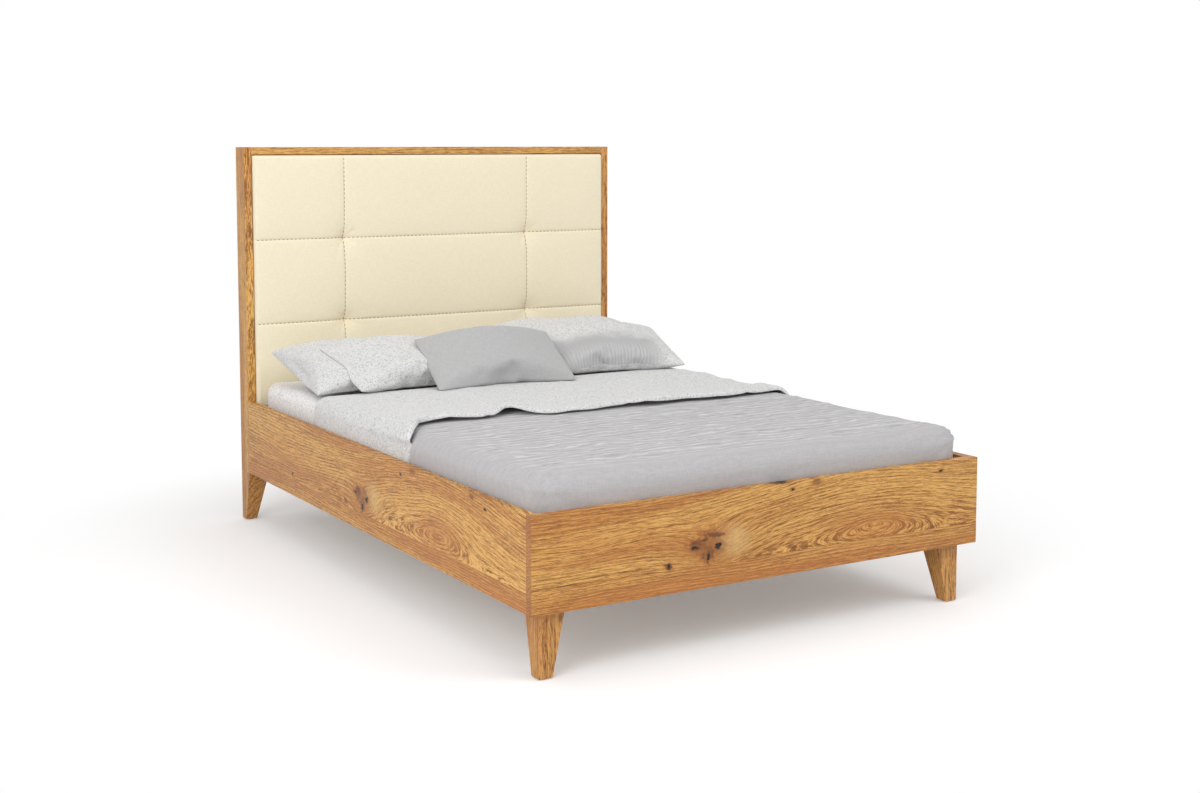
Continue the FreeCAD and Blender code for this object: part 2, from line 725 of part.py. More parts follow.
def make_corner_block(name, side, grow_x, grow_y):
    """The glued block inside each corner that the leg bolt passes through."""
    at_foot = grow_y > 0
    block = new_body(f"corner_block_{name}")
    sketch = new_sketch(block, "XY_Plane")
    quadrant = (grow_x, 1)
    if at_foot:
        draw_rectangle(sketch, "sizes.foot_block_size", "sizes.foot_block_size", quadrant=quadrant)
        bolt = ("places.foot_bolt_dx", "places.foot_bolt_dy")
        corner_y = "places.foot_y"
    else:
        draw_rectangle(sketch, "sizes.head_block_width", "places.head_block_depth",
                       quadrant=quadrant)
        bolt = ("places.head_bolt_dx", "places.head_bolt_dy")
        corner_y = "places.head_block_y"
    solid = pad(block, sketch, "sizes.block_height")
    if at_foot:
        far = max(edge.BoundBox.Center.x * grow_x + edge.BoundBox.Center.y
                  for edge in solid.Shape.Edges)
        names = [name_ for name_ in edges_along(solid.Shape, AXES["Z"])
                 if solid.Shape.getElement(name_).BoundBox.Center.x * grow_x
                 + solid.Shape.getElement(name_).BoundBox.Center.y > far - 0.01]
        cut = block.newObject("PartDesign::Chamfer", f"{block.Name}_corner")
        cut.Base = (solid, names)
        cut.setExpression("Size", "sizes.foot_block_corner")
        doc.recompute()
    drill_z(block, "sizes.block_height", [bolt], "places.leg_bolt_bore", "sizes.block_height",
            quadrant)
    place(block, signed(side, "places.post_inner"), corner_y, "sizes.floor_clearance")
    keep(block, f"corner_block_{name}")


def hex_bolt(name, diameter, shank, head, head_height, at, rotation):
    """A bolt with its head's bearing face at the given point and its shank below it."""
    rod = doc.addObject("Part::Cylinder", f"{name}_shank")
    rod.setExpression("Radius", f"({diameter}) / 2")
    rod.setExpression("Height", shank)
    rod.setExpression("Placement.Base.z", f"-({shank})")
    hexagon = doc.addObject("Part::Prism", f"{name}_head")
    hexagon.Polygon = 6
    hexagon.setExpression("Circumradius", f"({head}) / {math.sqrt(3)}")
    hexagon.setExpression("Height", head_height)
    bolt = doc.addObject("Part::Fuse", name)
    bolt.Base = rod
    bolt.Tool = hexagon
    place(bolt, *at, rotation)
    return bolt


def make_leg_bolts_and_glides():
    bolts = []
    glides = []
    for name, (side, grow_x, grow_y) in CORNERS.items():
        at_foot = grow_y > 0
        block_x = signed(side, "places.post_inner")
        if at_foot:
            x = f"{block_x} + {grow_x} * places.foot_bolt_dx"
            y = "places.foot_y + places.foot_bolt_dy"
            corner_x = signed(side, "places.foot_leg_x")
            corner_y = "places.foot_leg_y"
        else:
            x = f"{block_x} + {grow_x} * places.head_bolt_dx"
            y = "places.head_block_y + places.head_bolt_dy"
            corner_x = signed(side, "places.half_width")
            corner_y = "places.back_y"
        bolts.append(hex_bolt(f"leg_bolt_{name}", "sizes.leg_bolt_diameter",
                              "sizes.block_height + sizes.leg_bolt_reach",
                              "sizes.leg_bolt_head", "sizes.leg_bolt_head_height",
                              (x, y, "places.block_top"), Rotation()))
        glides.append(cylinder(f"glide_{name}", "sizes.glide_diameter", "sizes.glide_thickness",
                               (f"{corner_x} + {grow_x} * sizes.leg_toe / 2",
                                f"{corner_y} + {grow_y} * sizes.leg_toe / 2", "0")))
    group("leg_bolts", bolts)
    group("leg_glides", glides)


# ---------------------------------------------------------------- corner brackets

def make_bracket(name, side, grow_x, grow_y):
    """A steel angle in the corner: one flange on the side rail, one on the end board."""
    bracket = new_body(f"bracket_{name}")
    quadrant = (grow_x, grow_y)
    sheet = "sizes.bracket_thickness"
    outline = new_sketch(bracket, "XY_Plane")
    draw_rectangle(outline, "sizes.bracket_flange", "sizes.bracket_flange", quadrant=quadrant)
    pad(bracket, outline, "sizes.bracket_height")
    inside = new_sketch(bracket, "XY_Plane")
    leg_inside = f"sizes.bracket_flange - {sheet}"
    draw_rectangle(inside, leg_inside, leg_inside, sheet, sheet, quadrant)
    pocket(bracket, inside, "sizes.bracket_height", backwards=True)
    hole = ("sizes.bracket_hole_reach", "sizes.bracket_height / 2", "places.bracket_bore")
    on_rail = new_sketch(bracket, "YZ_Plane")
    draw_circle(on_rail, *hole, (grow_y, 1))
    on_board = new_sketch(bracket, "XZ_Plane")
    draw_circle(on_board, *hole, (grow_x, 1))
    pocket(bracket, on_rail, sheet, backwards=grow_x > 0)
    pocket(bracket, on_board, sheet, backwards=grow_y < 0)
    corner_y = "places.foot_y" if grow_y > 0 else "places.head_y"
    place(bracket, signed(side, "places.half_inner"), corner_y, "places.bracket_low")
    keep(bracket, f"bracket_{name}")


def make_bracket_bolts():
    """Two bolts in each bracket, one through each flange."""
    bolts = []
    shank = "sizes.bracket_thickness + sizes.bracket_bolt_reach"
    for name, (side, grow_x, grow_y) in CORNERS.items():
        corner_x = signed(side, "places.half_inner")
        corner_y = "places.foot_y" if grow_y > 0 else "places.head_y"
        reach = "sizes.bracket_hole_reach"
        sheet = "sizes.bracket_thickness"
        through_rail = (f"{corner_x} + {grow_x} * {sheet}", f"{corner_y} + {grow_y} * {reach}",
                        Rotation(AXES["Z"], Vector(grow_x, 0, 0)))
        through_board = (f"{corner_x} + {grow_x} * {reach}", f"{corner_y} + {grow_y} * {sheet}",
                         Rotation(AXES["Z"], Vector(0, grow_y, 0)))
        for x, y, rotation in (through_rail, through_board):
            bolts.append(hex_bolt(f"bracket_bolt_{name}", "sizes.bracket_bolt_diameter", shank,
                                  "sizes.bracket_bolt_head", "sizes.bracket_bolt_head_height",
                                  (x, y, "places.bracket_bolt_z"), rotation))
    group("bracket_bolts", bolts)


# ---------------------------------------------------------------- slats, cleats and centre beam

def make_slats():
    for side, sign in SIDES:
        x = "-places.half_inner" if sign < 0 else "places.half_inner - sizes.cleat_width"
        board(f"slat_cleat_{side}", "sizes.cleat_width",
              "sizes.inner_length - 2 * sizes.cleat_end_gap", "sizes.cleat_height",
              (x, "places.foot_y + sizes.cleat_end_gap", "places.slat_low - sizes.cleat_height"),
              "Y")
    for index in range(int(sizes.slat_count)):
        board(f"slat_{index + 1:02d}", "sizes.inner_width - 2 * sizes.slat_end_gap",
              "sizes.slat_width", "sizes.slat_thickness",
              ("-places.half_inner + sizes.slat_end_gap",
               f"places.foot_y + sizes.first_slat_gap + {index} * places.slat_pitch",
               "places.slat_low"), "X", "sizes.slat_edge_round")
    for side, sign in SIDES:
        offset = "-places.half_inner + sizes.webbing_inset"
        if sign > 0:
            offset = "places.half_inner - sizes.webbing_inset - sizes.webbing_width"
        plain_box(f"slat_webbing_{side}", "sizes.webbing_width",
                  "places.slat_run + sizes.slat_width", "sizes.webbing_thickness",
                  (offset, "places.foot_y + sizes.first_slat_gap", "sizes.slat_deck_height"))


def make_beam_hanger(end, face_y, grow_y):
    """A folded steel shoe: two cheeks and a floor under the beam, two screwed flanges."""
    hanger = new_body(f"beam_hanger_{end}")
    outward = grow_y < 0
    outline = new_sketch(hanger, "XZ_Plane")
    draw_rectangle(outline, "places.hanger_outer", "sizes.hanger_cheek_height",
                   "sizes.hanger_flange")
    pad(hanger, outline, "sizes.hanger_depth", backwards=not outward)
    inside = new_sketch(hanger, "XZ_Plane")
    draw_rectangle(inside, "places.hanger_inner",
                   "sizes.hanger_cheek_height - sizes.hanger_thickness",
                   "sizes.hanger_flange + sizes.hanger_thickness", "sizes.hanger_thickness")
    pocket(hanger, inside, "sizes.hanger_depth", backwards=outward)
    flanges = new_sketch(hanger, "XZ_Plane")
    draw_rectangle(flanges, "sizes.hanger_flange", "sizes.hanger_cheek_height")
    draw_rectangle(flanges, "sizes.hanger_flange", "sizes.hanger_cheek_height",
                   "sizes.hanger_flange + places.hanger_outer")
    pad(hanger, flanges, "sizes.hanger_thickness", backwards=not outward)
    place(hanger, "-places.hanger_outer / 2 - sizes.hanger_flange", face_y, "places.hanger_low")
    keep(hanger, f"beam_hanger_{end}")


def make_centre_support():
    board("centre_beam", "sizes.beam_width", "places.beam_length", "sizes.beam_height",
          ("-sizes.beam_width / 2", "places.foot_y + sizes.beam_end_gap", "places.beam_low"), "Y")
    make_beam_hanger("foot", "places.foot_y", 1)
    make_beam_hanger("head", "places.head_y", -1)
    plain_box("centre_leg_plate", "sizes.beam_width", "sizes.plate_size", "sizes.plate_thickness",
              ("-sizes.beam_width / 2", "-sizes.plate_size / 2", "places.plate_low"))
    half = "sizes.centre_leg_size / 2"
    leg = board("centre_leg", "sizes.centre_leg_size", "sizes.centre_leg_size",
                "places.plate_low - places.centre_leg_low",
                (f"-{half}", f"-{half}", "places.centre_leg_low"), "Z", "sizes.leg_edge_round")
    bore = new_sketch(leg, "XY_Plane")
    draw_circle(bore, half, half, "places.stem_bore")
    pocket(leg, bore, "sizes.stem_reach + sizes.bolt_play", backwards=True)
    disc = cylinder("centre_foot_disc", "sizes.centre_foot_diameter", "sizes.centre_foot_height",
                    ("0", "0", "0"))
    stem = cylinder("centre_foot_stem", "sizes.stem_diameter",
                    "sizes.centre_foot_height + sizes.centre_foot_gap + sizes.stem_reach",
                    ("0", "0", "0"))
    foot = doc.addObject("Part::Fuse", "centre_leg_foot")
    foot.Base = disc
    foot.Tool = stem
    keep(foot, "centre_leg_foot")


# ---------------------------------------------------------------- bedding

def rounded_bar(name, size, at, direction, radius, ends):
    """A block whose edges along one direction are rounded at the chosen ends."""
    body = new_body(name)
    sketch = new_sketch(body, "XY_Plane")
    wide, deep, tall = size
    draw_rectangle(sketch, wide, deep)
    solid = pad(body, sketch, tall).Shape
    middle = solid.BoundBox.Center
    names = []
    for item in edges_along(solid, AXES[direction]):
        centre = solid.getElement(item).BoundBox.Center
        spot = {"foot": centre.y < middle.y, "head": centre.y > middle.y,
                "low": centre.z < middle.z, "top": centre.z > middle.z}
        if all(spot[end] for end in ends):
            names.append(item)
    round_edges(body, names, radius)
    place(body, *at)
    return body


def rounded_block(name, half_wide, foot, head, low, top, corner, rounding,
                  round_foot=True, round_head=True):
    """A padded block: the space that its rounded bars along X, Y and Z have in common."""
    size = (f"2 * ({half_wide})", f"({head}) - ({foot})", f"({top}) - ({low})")
    at = (f"-({half_wide})", foot, low)
    bars = [rounded_bar(f"{name}_along", size, at, "Y", rounding, ["top"])]
    for end, wanted in (("foot", round_foot), ("head", round_head)):
        if wanted:
            bars.append(rounded_bar(f"{name}_{end}_top", size, at, "X", rounding, [end, "top"]))
            bars.append(rounded_bar(f"{name}_{end}_corner", size, at, "Z", corner, [end]))
    if len(bars) == 1:
        return bars[0]
    shared = doc.addObject("Part::MultiCommon", name)
    shared.Shapes = bars
    doc.recompute()
    return shared


def cut(name, base, tool):
    """Take one object's shape out of another."""
    result = doc.addObject("Part::Cut", name)
    result.Base = base
    result.Tool = tool
    doc.recompute()
    return result


def make_mattress_and_duvet():
    """The mattress, the tucked duvet over it and the duvet's end that is folded back."""
    clear = "sizes.soft_clearance"
    mattress = rounded_block("mattress", "places.mattress_half", "places.mattress_foot",
                             "places.mattress_head", "places.mattress_low",
                             "places.mattress_top", "sizes.mattress_corner",
                             "sizes.mattress_round")
    keep(mattress, "mattress")
    under_duvet = rounded_block("under_duvet", f"places.mattress_half + {clear}",
                                f"places.mattress_foot - {clear}",
                                f"places.mattress_head + {clear}", "places.mattress_low",
                                f"places.mattress_top + {clear}",
                                f"sizes.mattress_corner + {clear}",
                                f"sizes.mattress_round + {clear}")
    duvet_over = rounded_block("duvet_over", "places.duvet_half", "places.duvet_foot",
                               "sizes.duvet_head_y", "places.duvet_hem", "places.duvet_top",
                               "sizes.mattress_corner", "sizes.duvet_round", round_head=False)
    keep(cut("duvet", duvet_over, under_duvet), "duvet")
    under_turnback = rounded_block("under_turnback", f"places.duvet_half + {clear}",
                                   f"places.duvet_foot - {clear}",
                                   f"sizes.turnback_head_y + {clear}",
                                   f"places.duvet_hem - {clear}", f"places.duvet_top + {clear}",
                                   "sizes.mattress_corner", f"sizes.duvet_round + {clear}",
                                   round_head=False)
    turnback_over = rounded_block("turnback_over", "places.turnback_half",
                                  "sizes.turnback_foot_y", "sizes.turnback_head_y",
                                  "places.duvet_hem", "places.turnback_top",
                                  "sizes.mattress_corner", "sizes.duvet_round",
                                  round_foot=False, round_head=False)
    keep(cut("duvet_turnback", turnback_over, under_turnback), "duvet_turnback")


def vault(half_wide, crown, rim, half_long, swap):
    """A bar with a lens-shaped section that runs across the bed, or along it if swapped."""
    def point(across, up):
        if swap:
            return Vector(across, -half_long, up)
        return Vector(-half_long, across, up)

    edges = [
        Part.Arc(point(-half_wide, rim), point(0, crown), point(half_wide, rim)),
        Part.LineSegment(point(half_wide, rim), point(half_wide, -rim)),
        Part.Arc(point(half_wide, -rim), point(0, -crown), point(-half_wide, -rim)),
        Part.LineSegment(point(-half_wide, -rim), point(-half_wide, rim)),
    ]
    run = Vector(0, 2 * half_long, 0) if swap else Vector(2 * half_long, 0, 0)
    return Part.Face(Part.Wire([edge.toShape() for edge in edges])).extrude(run)


def pillow_shape(kind, grow):
    """Two crossed vaults share the pillow's crown; large cylinders draw its sides in."""
    half_wide = getattr(sizes, f"{kind}_pillow_width") / 2 + grow
    half_deep = getattr(sizes, f"{kind}_pillow_depth") / 2 + grow
    crown = getattr(sizes, f"{kind}_pillow_thickness") / 2 + grow
    rim = sizes.pillow_rim / 2 + grow
    drawn = sizes.pillow_drawn_in
    shape = vault(half_deep, crown, rim, half_wide, False).common(
        vault(half_wide, crown * sizes.pillow_fullness, rim, half_deep, True))
    for half_long, edge, along_x in ((half_wide, half_deep, True), (half_deep, half_wide, False)):
        radius = (half_long ** 2 + drawn ** 2) / (2 * drawn)
        for sign in (-1, 1):
            away = sign * (edge - drawn + radius)
            foot = Vector(0, away, -2 * crown) if along_x else Vector(away, 0, -2 * crown)
            shape = shape.cut(Part.makeCylinder(radius, 4 * crown, foot))
    return shape


def loose_pillow(number, kind, grow=0.0):
    """One pillow lying as it would without the others, or its slightly larger copy."""
    name = f"pillow_{number}"
    pillow = doc.addObject("Part::Feature", f"{name}_grown" if grow else f"{name}_loose")
    pillow.Shape = pillow_shape(kind, grow)
    slope = Rotation(AXES["X"], getattr(sizes, f"{name}_slope"))
    turn = Rotation(AXES["Z"], getattr(sizes, f"{name}_turn"))
    centre = Vector(*(getattr(sizes, f"{name}_{axis}") for axis in "xyz"))
    pillow.Placement = Placement(centre, turn * slope)
    return pillow


def make_pillows():
    """Five pillows; each one is pressed flat by the bed and by those that it lies on."""
    under = doc.addObject("Part::Box", "space_under_pillows")
    under.setExpression("Length", "2 * places.half_width")
    under.setExpression("Width", "places.overall_length")
    under.setExpression("Height", "places.pillow_bed - places.mattress_low")
    place(under, "-places.half_width", "places.front_y", "places.mattress_low")
    stacked_on = {
        1: ("back", ()),
        4: ("plump", ()),
        2: ("side", ((1, "back"),)),
        5: ("side", ((4, "plump"),)),
        3: ("front", ((1, "back"), (4, "plump"), (2, "side"), (5, "side"))),
    }
    for number, (kind, carriers) in stacked_on.items():
        pillow = cut(f"pillow_{number}_on_bed", loose_pillow(number, kind), under)
        for carrier, carrier_kind in carriers:
            grown = loose_pillow(carrier, carrier_kind, sizes.soft_clearance)
            pillow = cut(f"pillow_{number}_on_{carrier}", pillow, grown)
        keep(pillow, f"pillow_{number}")


# ---------------------------------------------------------------- build and write

def check_document():
    """Stop if any object failed or any sub-part has no sound shape."""
    doc.recompute()
    for item in doc.Objects:
        if "Invalid" in item.State or "Error" in item.State:
            raise RuntimeError(f"{item.Label} failed: {item.State}")
    for label, sub_part in sub_parts.items():
        shape = sub_part.Shape
        if shape.isNull() or not shape.isValid() or not shape.Solids:
            raise RuntimeError(f"{label} has no valid solid")


make_headboard_frame()
make_headboard_tenons()
make_upholstered_panel()
for rail_side, rail_sign in SIDES:
    make_side_rail(rail_side, rail_sign)
make_foot_panel()
for corner_name, corner in CORNERS.items():
    make_leg(corner_name, *corner)
    make_corner_block(corner_name, *corner)
    make_bracket(corner_name, *corner)
make_leg_bolts_and_glides()
make_bracket_bolts()
make_slats()
make_centre_support()
make_mattress_and_duvet()
make_pillows()
check_document()

os.makedirs("parts", exist_ok=True)
for label, sub_part in sub_parts.items():
    sub_part.Shape.exportStep(os.path.join("parts", f"{label}.step"))
print(len(sub_parts), "sub-parts written")
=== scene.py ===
"""The oak panel bed dressed for a picture: wood, upholstery, bedding, hardware, light and camera.

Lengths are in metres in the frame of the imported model: X across the bed, Y from
the foot to the headboard, Z up from the floor.
"""
import contextlib
import math

import bmesh
import bpy
import numpy as np
from mathutils import Euler, Matrix, Vector, noise
from mathutils.bvhtree import BVHTree


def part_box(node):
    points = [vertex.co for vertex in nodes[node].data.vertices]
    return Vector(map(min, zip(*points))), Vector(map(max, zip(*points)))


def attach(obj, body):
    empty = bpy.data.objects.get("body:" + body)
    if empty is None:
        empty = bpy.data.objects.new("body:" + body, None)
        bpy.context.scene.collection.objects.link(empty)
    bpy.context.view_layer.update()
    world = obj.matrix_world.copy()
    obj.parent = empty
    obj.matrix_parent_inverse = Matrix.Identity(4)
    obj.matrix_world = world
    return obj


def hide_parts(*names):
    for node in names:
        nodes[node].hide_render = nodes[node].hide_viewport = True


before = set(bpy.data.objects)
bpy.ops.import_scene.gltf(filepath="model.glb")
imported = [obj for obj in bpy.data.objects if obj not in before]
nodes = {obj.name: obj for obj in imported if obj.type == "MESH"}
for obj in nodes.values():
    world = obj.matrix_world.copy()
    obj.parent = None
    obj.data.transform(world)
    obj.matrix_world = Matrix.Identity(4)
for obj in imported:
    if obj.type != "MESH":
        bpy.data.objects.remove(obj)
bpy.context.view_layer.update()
scene = bpy.context.scene

MM = 0.001
QUARTER_TURN = math.pi / 2


# ---- numbers and noise

def linear(red, green, blue):
    """Turn a colour as seen on screen (0 to 255) into the shader's linear values."""
    channels = []
    for value in (red, green, blue):
        share = value / 255
        channels.append(share / 12.92 if share <= 0.04045 else ((share + 0.055) / 1.055) ** 2.4)
    return (*channels, 1.0)


def ease(low, high, value):
    """Climb smoothly from 0 at low to 1 at high."""
    share = np.clip((value - low) / (high - low), 0.0, 1.0)
    return share * share * (3 - 2 * share)


def waves(points, scale, seed, stretch=(1, 1, 1), octaves=1):
    """Smooth noise from -1 to 1 at each point; the scale is in waves per metre."""
    if points.shape[1] == 2:
        points = np.column_stack([points, np.zeros(len(points))])
    shift = Vector((seed * 7.31, seed * 3.17, seed * 5.71))
    heights = []
    for point in points * stretch:
        place = Vector(point) * scale + shift
        total = noise.noise(place)
        if octaves > 1:
            total += 0.5 * noise.noise(place * 2.03)
        heights.append(total)
    return np.array(heights)


def ridged(points, scale, seed, stretch):
    """Soft creases: narrow crests with wide hollows between them."""
    value = waves(points, scale, seed, stretch)
    return np.maximum(0.0, 1 - np.abs(value) * 5.0) ** 2


def fading(distance, reach, power=2):
    """1 at no distance, falling off smoothly over the reach."""
    return np.exp(-(distance / reach) ** power)


# ---- pieces and meshes

def add_object(name, data):
    item = bpy.data.objects.new(name, data)
    scene.collection.objects.link(item)
    return item


def mesh_piece(name, points, faces, uv=None, smooth=True):
    """Make an object from points and faces, with one place on the flat cloth for each point."""
    mesh = bpy.data.meshes.new(name)
    mesh.from_pydata([tuple(point) for point in points], [], faces)
    if uv is not None:
        layer = mesh.uv_layers.new(name="cloth")
        flat = np.array(uv, dtype=np.float32)
        corners = np.zeros(len(mesh.loops), dtype=np.int32)
        mesh.loops.foreach_get("vertex_index", corners)
        layer.data.foreach_set("uv", flat[corners].ravel())
    mesh.polygons.foreach_set("use_smooth", [smooth] * len(mesh.polygons))
    mesh.update()
    return add_object(name, mesh)


def grid_faces(rows, columns):
    """Faces of a grid whose points are listed row by row."""
    corners = [row * columns + column for row in range(rows - 1) for column in range(columns - 1)]
    return [(corner, corner + 1, corner + columns + 1, corner + columns) for corner in corners]


def flat_grid(columns, rows):
    grid_x, grid_y = np.meshgrid(columns, rows)
    return np.stack([grid_x.ravel(), grid_y.ravel()], axis=1)


def points_of(piece):
    flat = np.zeros(len(piece.data.vertices) * 3, dtype=np.float32)
    piece.data.vertices.foreach_get("co", flat)
    return flat.reshape(-1, 3).astype(float)


def move_points(piece, points):
    piece.data.vertices.foreach_set("co", points.astype(np.float32).ravel())
    piece.data.update()


@contextlib.contextmanager
def shell_of(piece):
    """Open a piece's mesh for editing and put it back afterwards."""
    shell = bmesh.new()
    shell.from_mesh(piece.data)
    yield shell
    shell.to_mesh(piece.data)
    shell.free()
    piece.data.update()


def tidy_shell(piece, merge=0.00005):
    """Merge points that coincide, drop loose ones and turn every face outwards."""
    with shell_of(piece) as shell:
        bmesh.ops.remove_doubles(shell, verts=shell.verts, dist=merge)
        bmesh.ops.dissolve_degenerate(shell, dist=merge / 2, edges=shell.edges)
        loose = [vert for vert in shell.verts if not vert.link_faces]
        bmesh.ops.delete(shell, geom=loose, context="VERTS")
        bmesh.ops.recalc_face_normals(shell, faces=shell.faces)
    return piece


def closed_cover(name, upper, lower, rows, columns, cloth, apart, merge=0.00005):
    """Two layers of cloth on one grid, joined all round; the lower lies apart on the cloth."""
    faces = grid_faces(rows, columns)
    faces += [tuple(len(upper) + corner for corner in reversed(face)) for face in faces]
    piece = mesh_piece(name, np.concatenate([upper, lower]), faces,
                       np.concatenate([cloth, cloth + apart]))
    return tidy_shell(piece, merge)


def open_sheet(name, points, rows, columns, cloth, thickness):
    """One layer of cloth on a grid, thickened towards its underside."""
    piece = tidy_shell(mesh_piece(name, points, grid_faces(rows, columns), cloth))
    modifier = piece.modifiers.new("thickness", "SOLIDIFY")
    modifier.thickness = thickness
    modifier.offset = -1.0
    return piece


def round_off(piece):
    """Add a subdivision surface that looks the same in view and in render."""
    modifier = piece.modifiers.new("round_off", "SUBSURF")
    modifier.levels = modifier.render_levels = 1


def give_material(piece, material):
    piece.data.materials.clear()
    piece.data.materials.append(material)


def finish_piece(piece, material, slot, replaced):
    """Give a soft piece its material and hide the CAD node that it stands for; the slot is not
    used.
    """
    give_material(piece, material)
    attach(piece, "root")
    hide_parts(replaced)
    return piece


# ---- node helpers

FLOAT, COLOUR, VECTOR = "NodeSocketFloat", "NodeSocketColor", "NodeSocketVector"


class Signal:
    """What a node gives. Reckoning with it adds Math nodes to its tree."""

    def __init__(self, socket):
        self.socket = socket
        self.tree = socket.id_data

    def __add__(self, other):
        return calc("ADD", self, other)

    def __sub__(self, other):
        return calc("SUBTRACT", self, other)

    def __rsub__(self, other):
        return calc("SUBTRACT", other, self)

    def __mul__(self, other):
        return calc("MULTIPLY", self, other)

    def __abs__(self):
        return calc("ABSOLUTE", self)


def signals(sockets):
    return {socket.name: Signal(socket) for socket in sockets}


def plug(node, inputs):
    """Feed a node's inputs, keyed by name or number, with signals, sockets or plain values."""
    for key, value in inputs.items():
        value = getattr(value, "socket", value)
        if isinstance(value, bpy.types.NodeSocket):
            node.id_data.links.new(value, node.inputs[key])
        else:
            node.inputs[key].default_value = value


def put(tree, kind, inputs=None, **settings):
    """Add a node with its settings and inputs."""
    node = tree.nodes.new(kind)
    for name, value in settings.items():
        setattr(node, name, value)
    plug(node, inputs or {})
    return node


def result(tree, kind, inputs=None, **settings):
    """Add a node and take what its first output gives."""
    return Signal(put(tree, kind, inputs, **settings).outputs[0])


def tree_of(values):
    return next(value.tree for value in values if isinstance(value, Signal))


def calc(operation, *values, clamp=False):
    """Reckon with signals and plain numbers in one Math node."""
    return result(tree_of(values), "ShaderNodeMath", dict(enumerate(values)),
                  operation=operation, use_clamp=clamp)


def vector_calc(operation, *values):
    node = put(tree_of(values), "ShaderNodeVectorMath", dict(enumerate(values)),
               operation=operation)
    return Signal(node.outputs["Value" if operation == "LENGTH" else "Vector"])


def split(vector):
    node = put(vector.tree, "ShaderNodeSeparateXYZ", {0: vector})
    return [Signal(socket) for socket in node.outputs]


def join(*parts):
    return result(tree_of(parts), "ShaderNodeCombineXYZ", dict(enumerate(parts)))


def blend_colour(share, first, second):
    node = put(share.tree, "ShaderNodeMix", {0: share, 6: first, 7: second}, data_type="RGBA")
    return Signal(node.outputs[2])


def level(value, low, high, to_low=0.0, to_high=1.0, kind="SMOOTHSTEP"):
    """Spread the part of a value between two limits over a new range."""
    return result(value.tree, "ShaderNodeMapRange",
                  {0: value, 1: low, 2: high, 3: to_low, 4: to_high}, interpolation_type=kind)


def grain_noise(vector, scales, detail=2.0, roughness=0.5):
    """Noise with its own number of waves per metre along each axis."""
    return result(vector.tree, "ShaderNodeTexNoise",
                  {"Vector": vector_calc("MULTIPLY", vector, scales), "Scale": 1.0,
                   "Detail": detail, "Roughness": roughness})


def new_group(name, inputs, outputs):
    """Start a shader node group from the names and kinds of its inputs and outputs."""
    group = bpy.data.node_groups.new(name, "ShaderNodeTree")
    for sockets, side in ((inputs, "INPUT"), (outputs, "OUTPUT")):
        for label, kind in sockets.items():
            group.interface.new_socket(label, in_out=side, socket_type=kind)
    given = signals(group.nodes.new("NodeGroupInput").outputs)
    return group, given, group.nodes.new("NodeGroupOutput")


def use_group(group, inputs):
    node = put(tree_of(inputs.values()), "ShaderNodeGroup", node_tree=group)
    plug(node, inputs)
    return signals(node.outputs)


def new_material(name):
    material = bpy.data.materials.new(name)
    material.use_nodes = True
    tree = material.node_tree
    return material, tree, tree.nodes["Principled BSDF"]


def bump(height, distance, strength=1.0):
    return result(height.tree, "ShaderNodeBump",
                  {"Height": height, "Distance": distance, "Strength": strength})


# ---- oak

def make_figure_group():
    """An oval swelling in the growth rings, as around a knot or in a cathedral figure."""
    group, given, leave = new_group(
        "ring figure", {"Place": VECTOR, "Centre": VECTOR, "Half size": VECTOR, "Rings": FLOAT},
        {"Growth": FLOAT, "Distance": FLOAT})
    away = vector_calc("SUBTRACT", given["Place"], given["Centre"])
    scaled = vector_calc("DIVIDE", away, given["Half size"])
    distance = vector_calc("LENGTH", vector_calc("MULTIPLY", scaled, (1, 1, 0)))
    fall = calc("EXPONENT", calc("POWER", distance, 1.35) * -1.0)
    plug(leave, {"Growth": fall * given["Rings"], "Distance": distance})
    return group


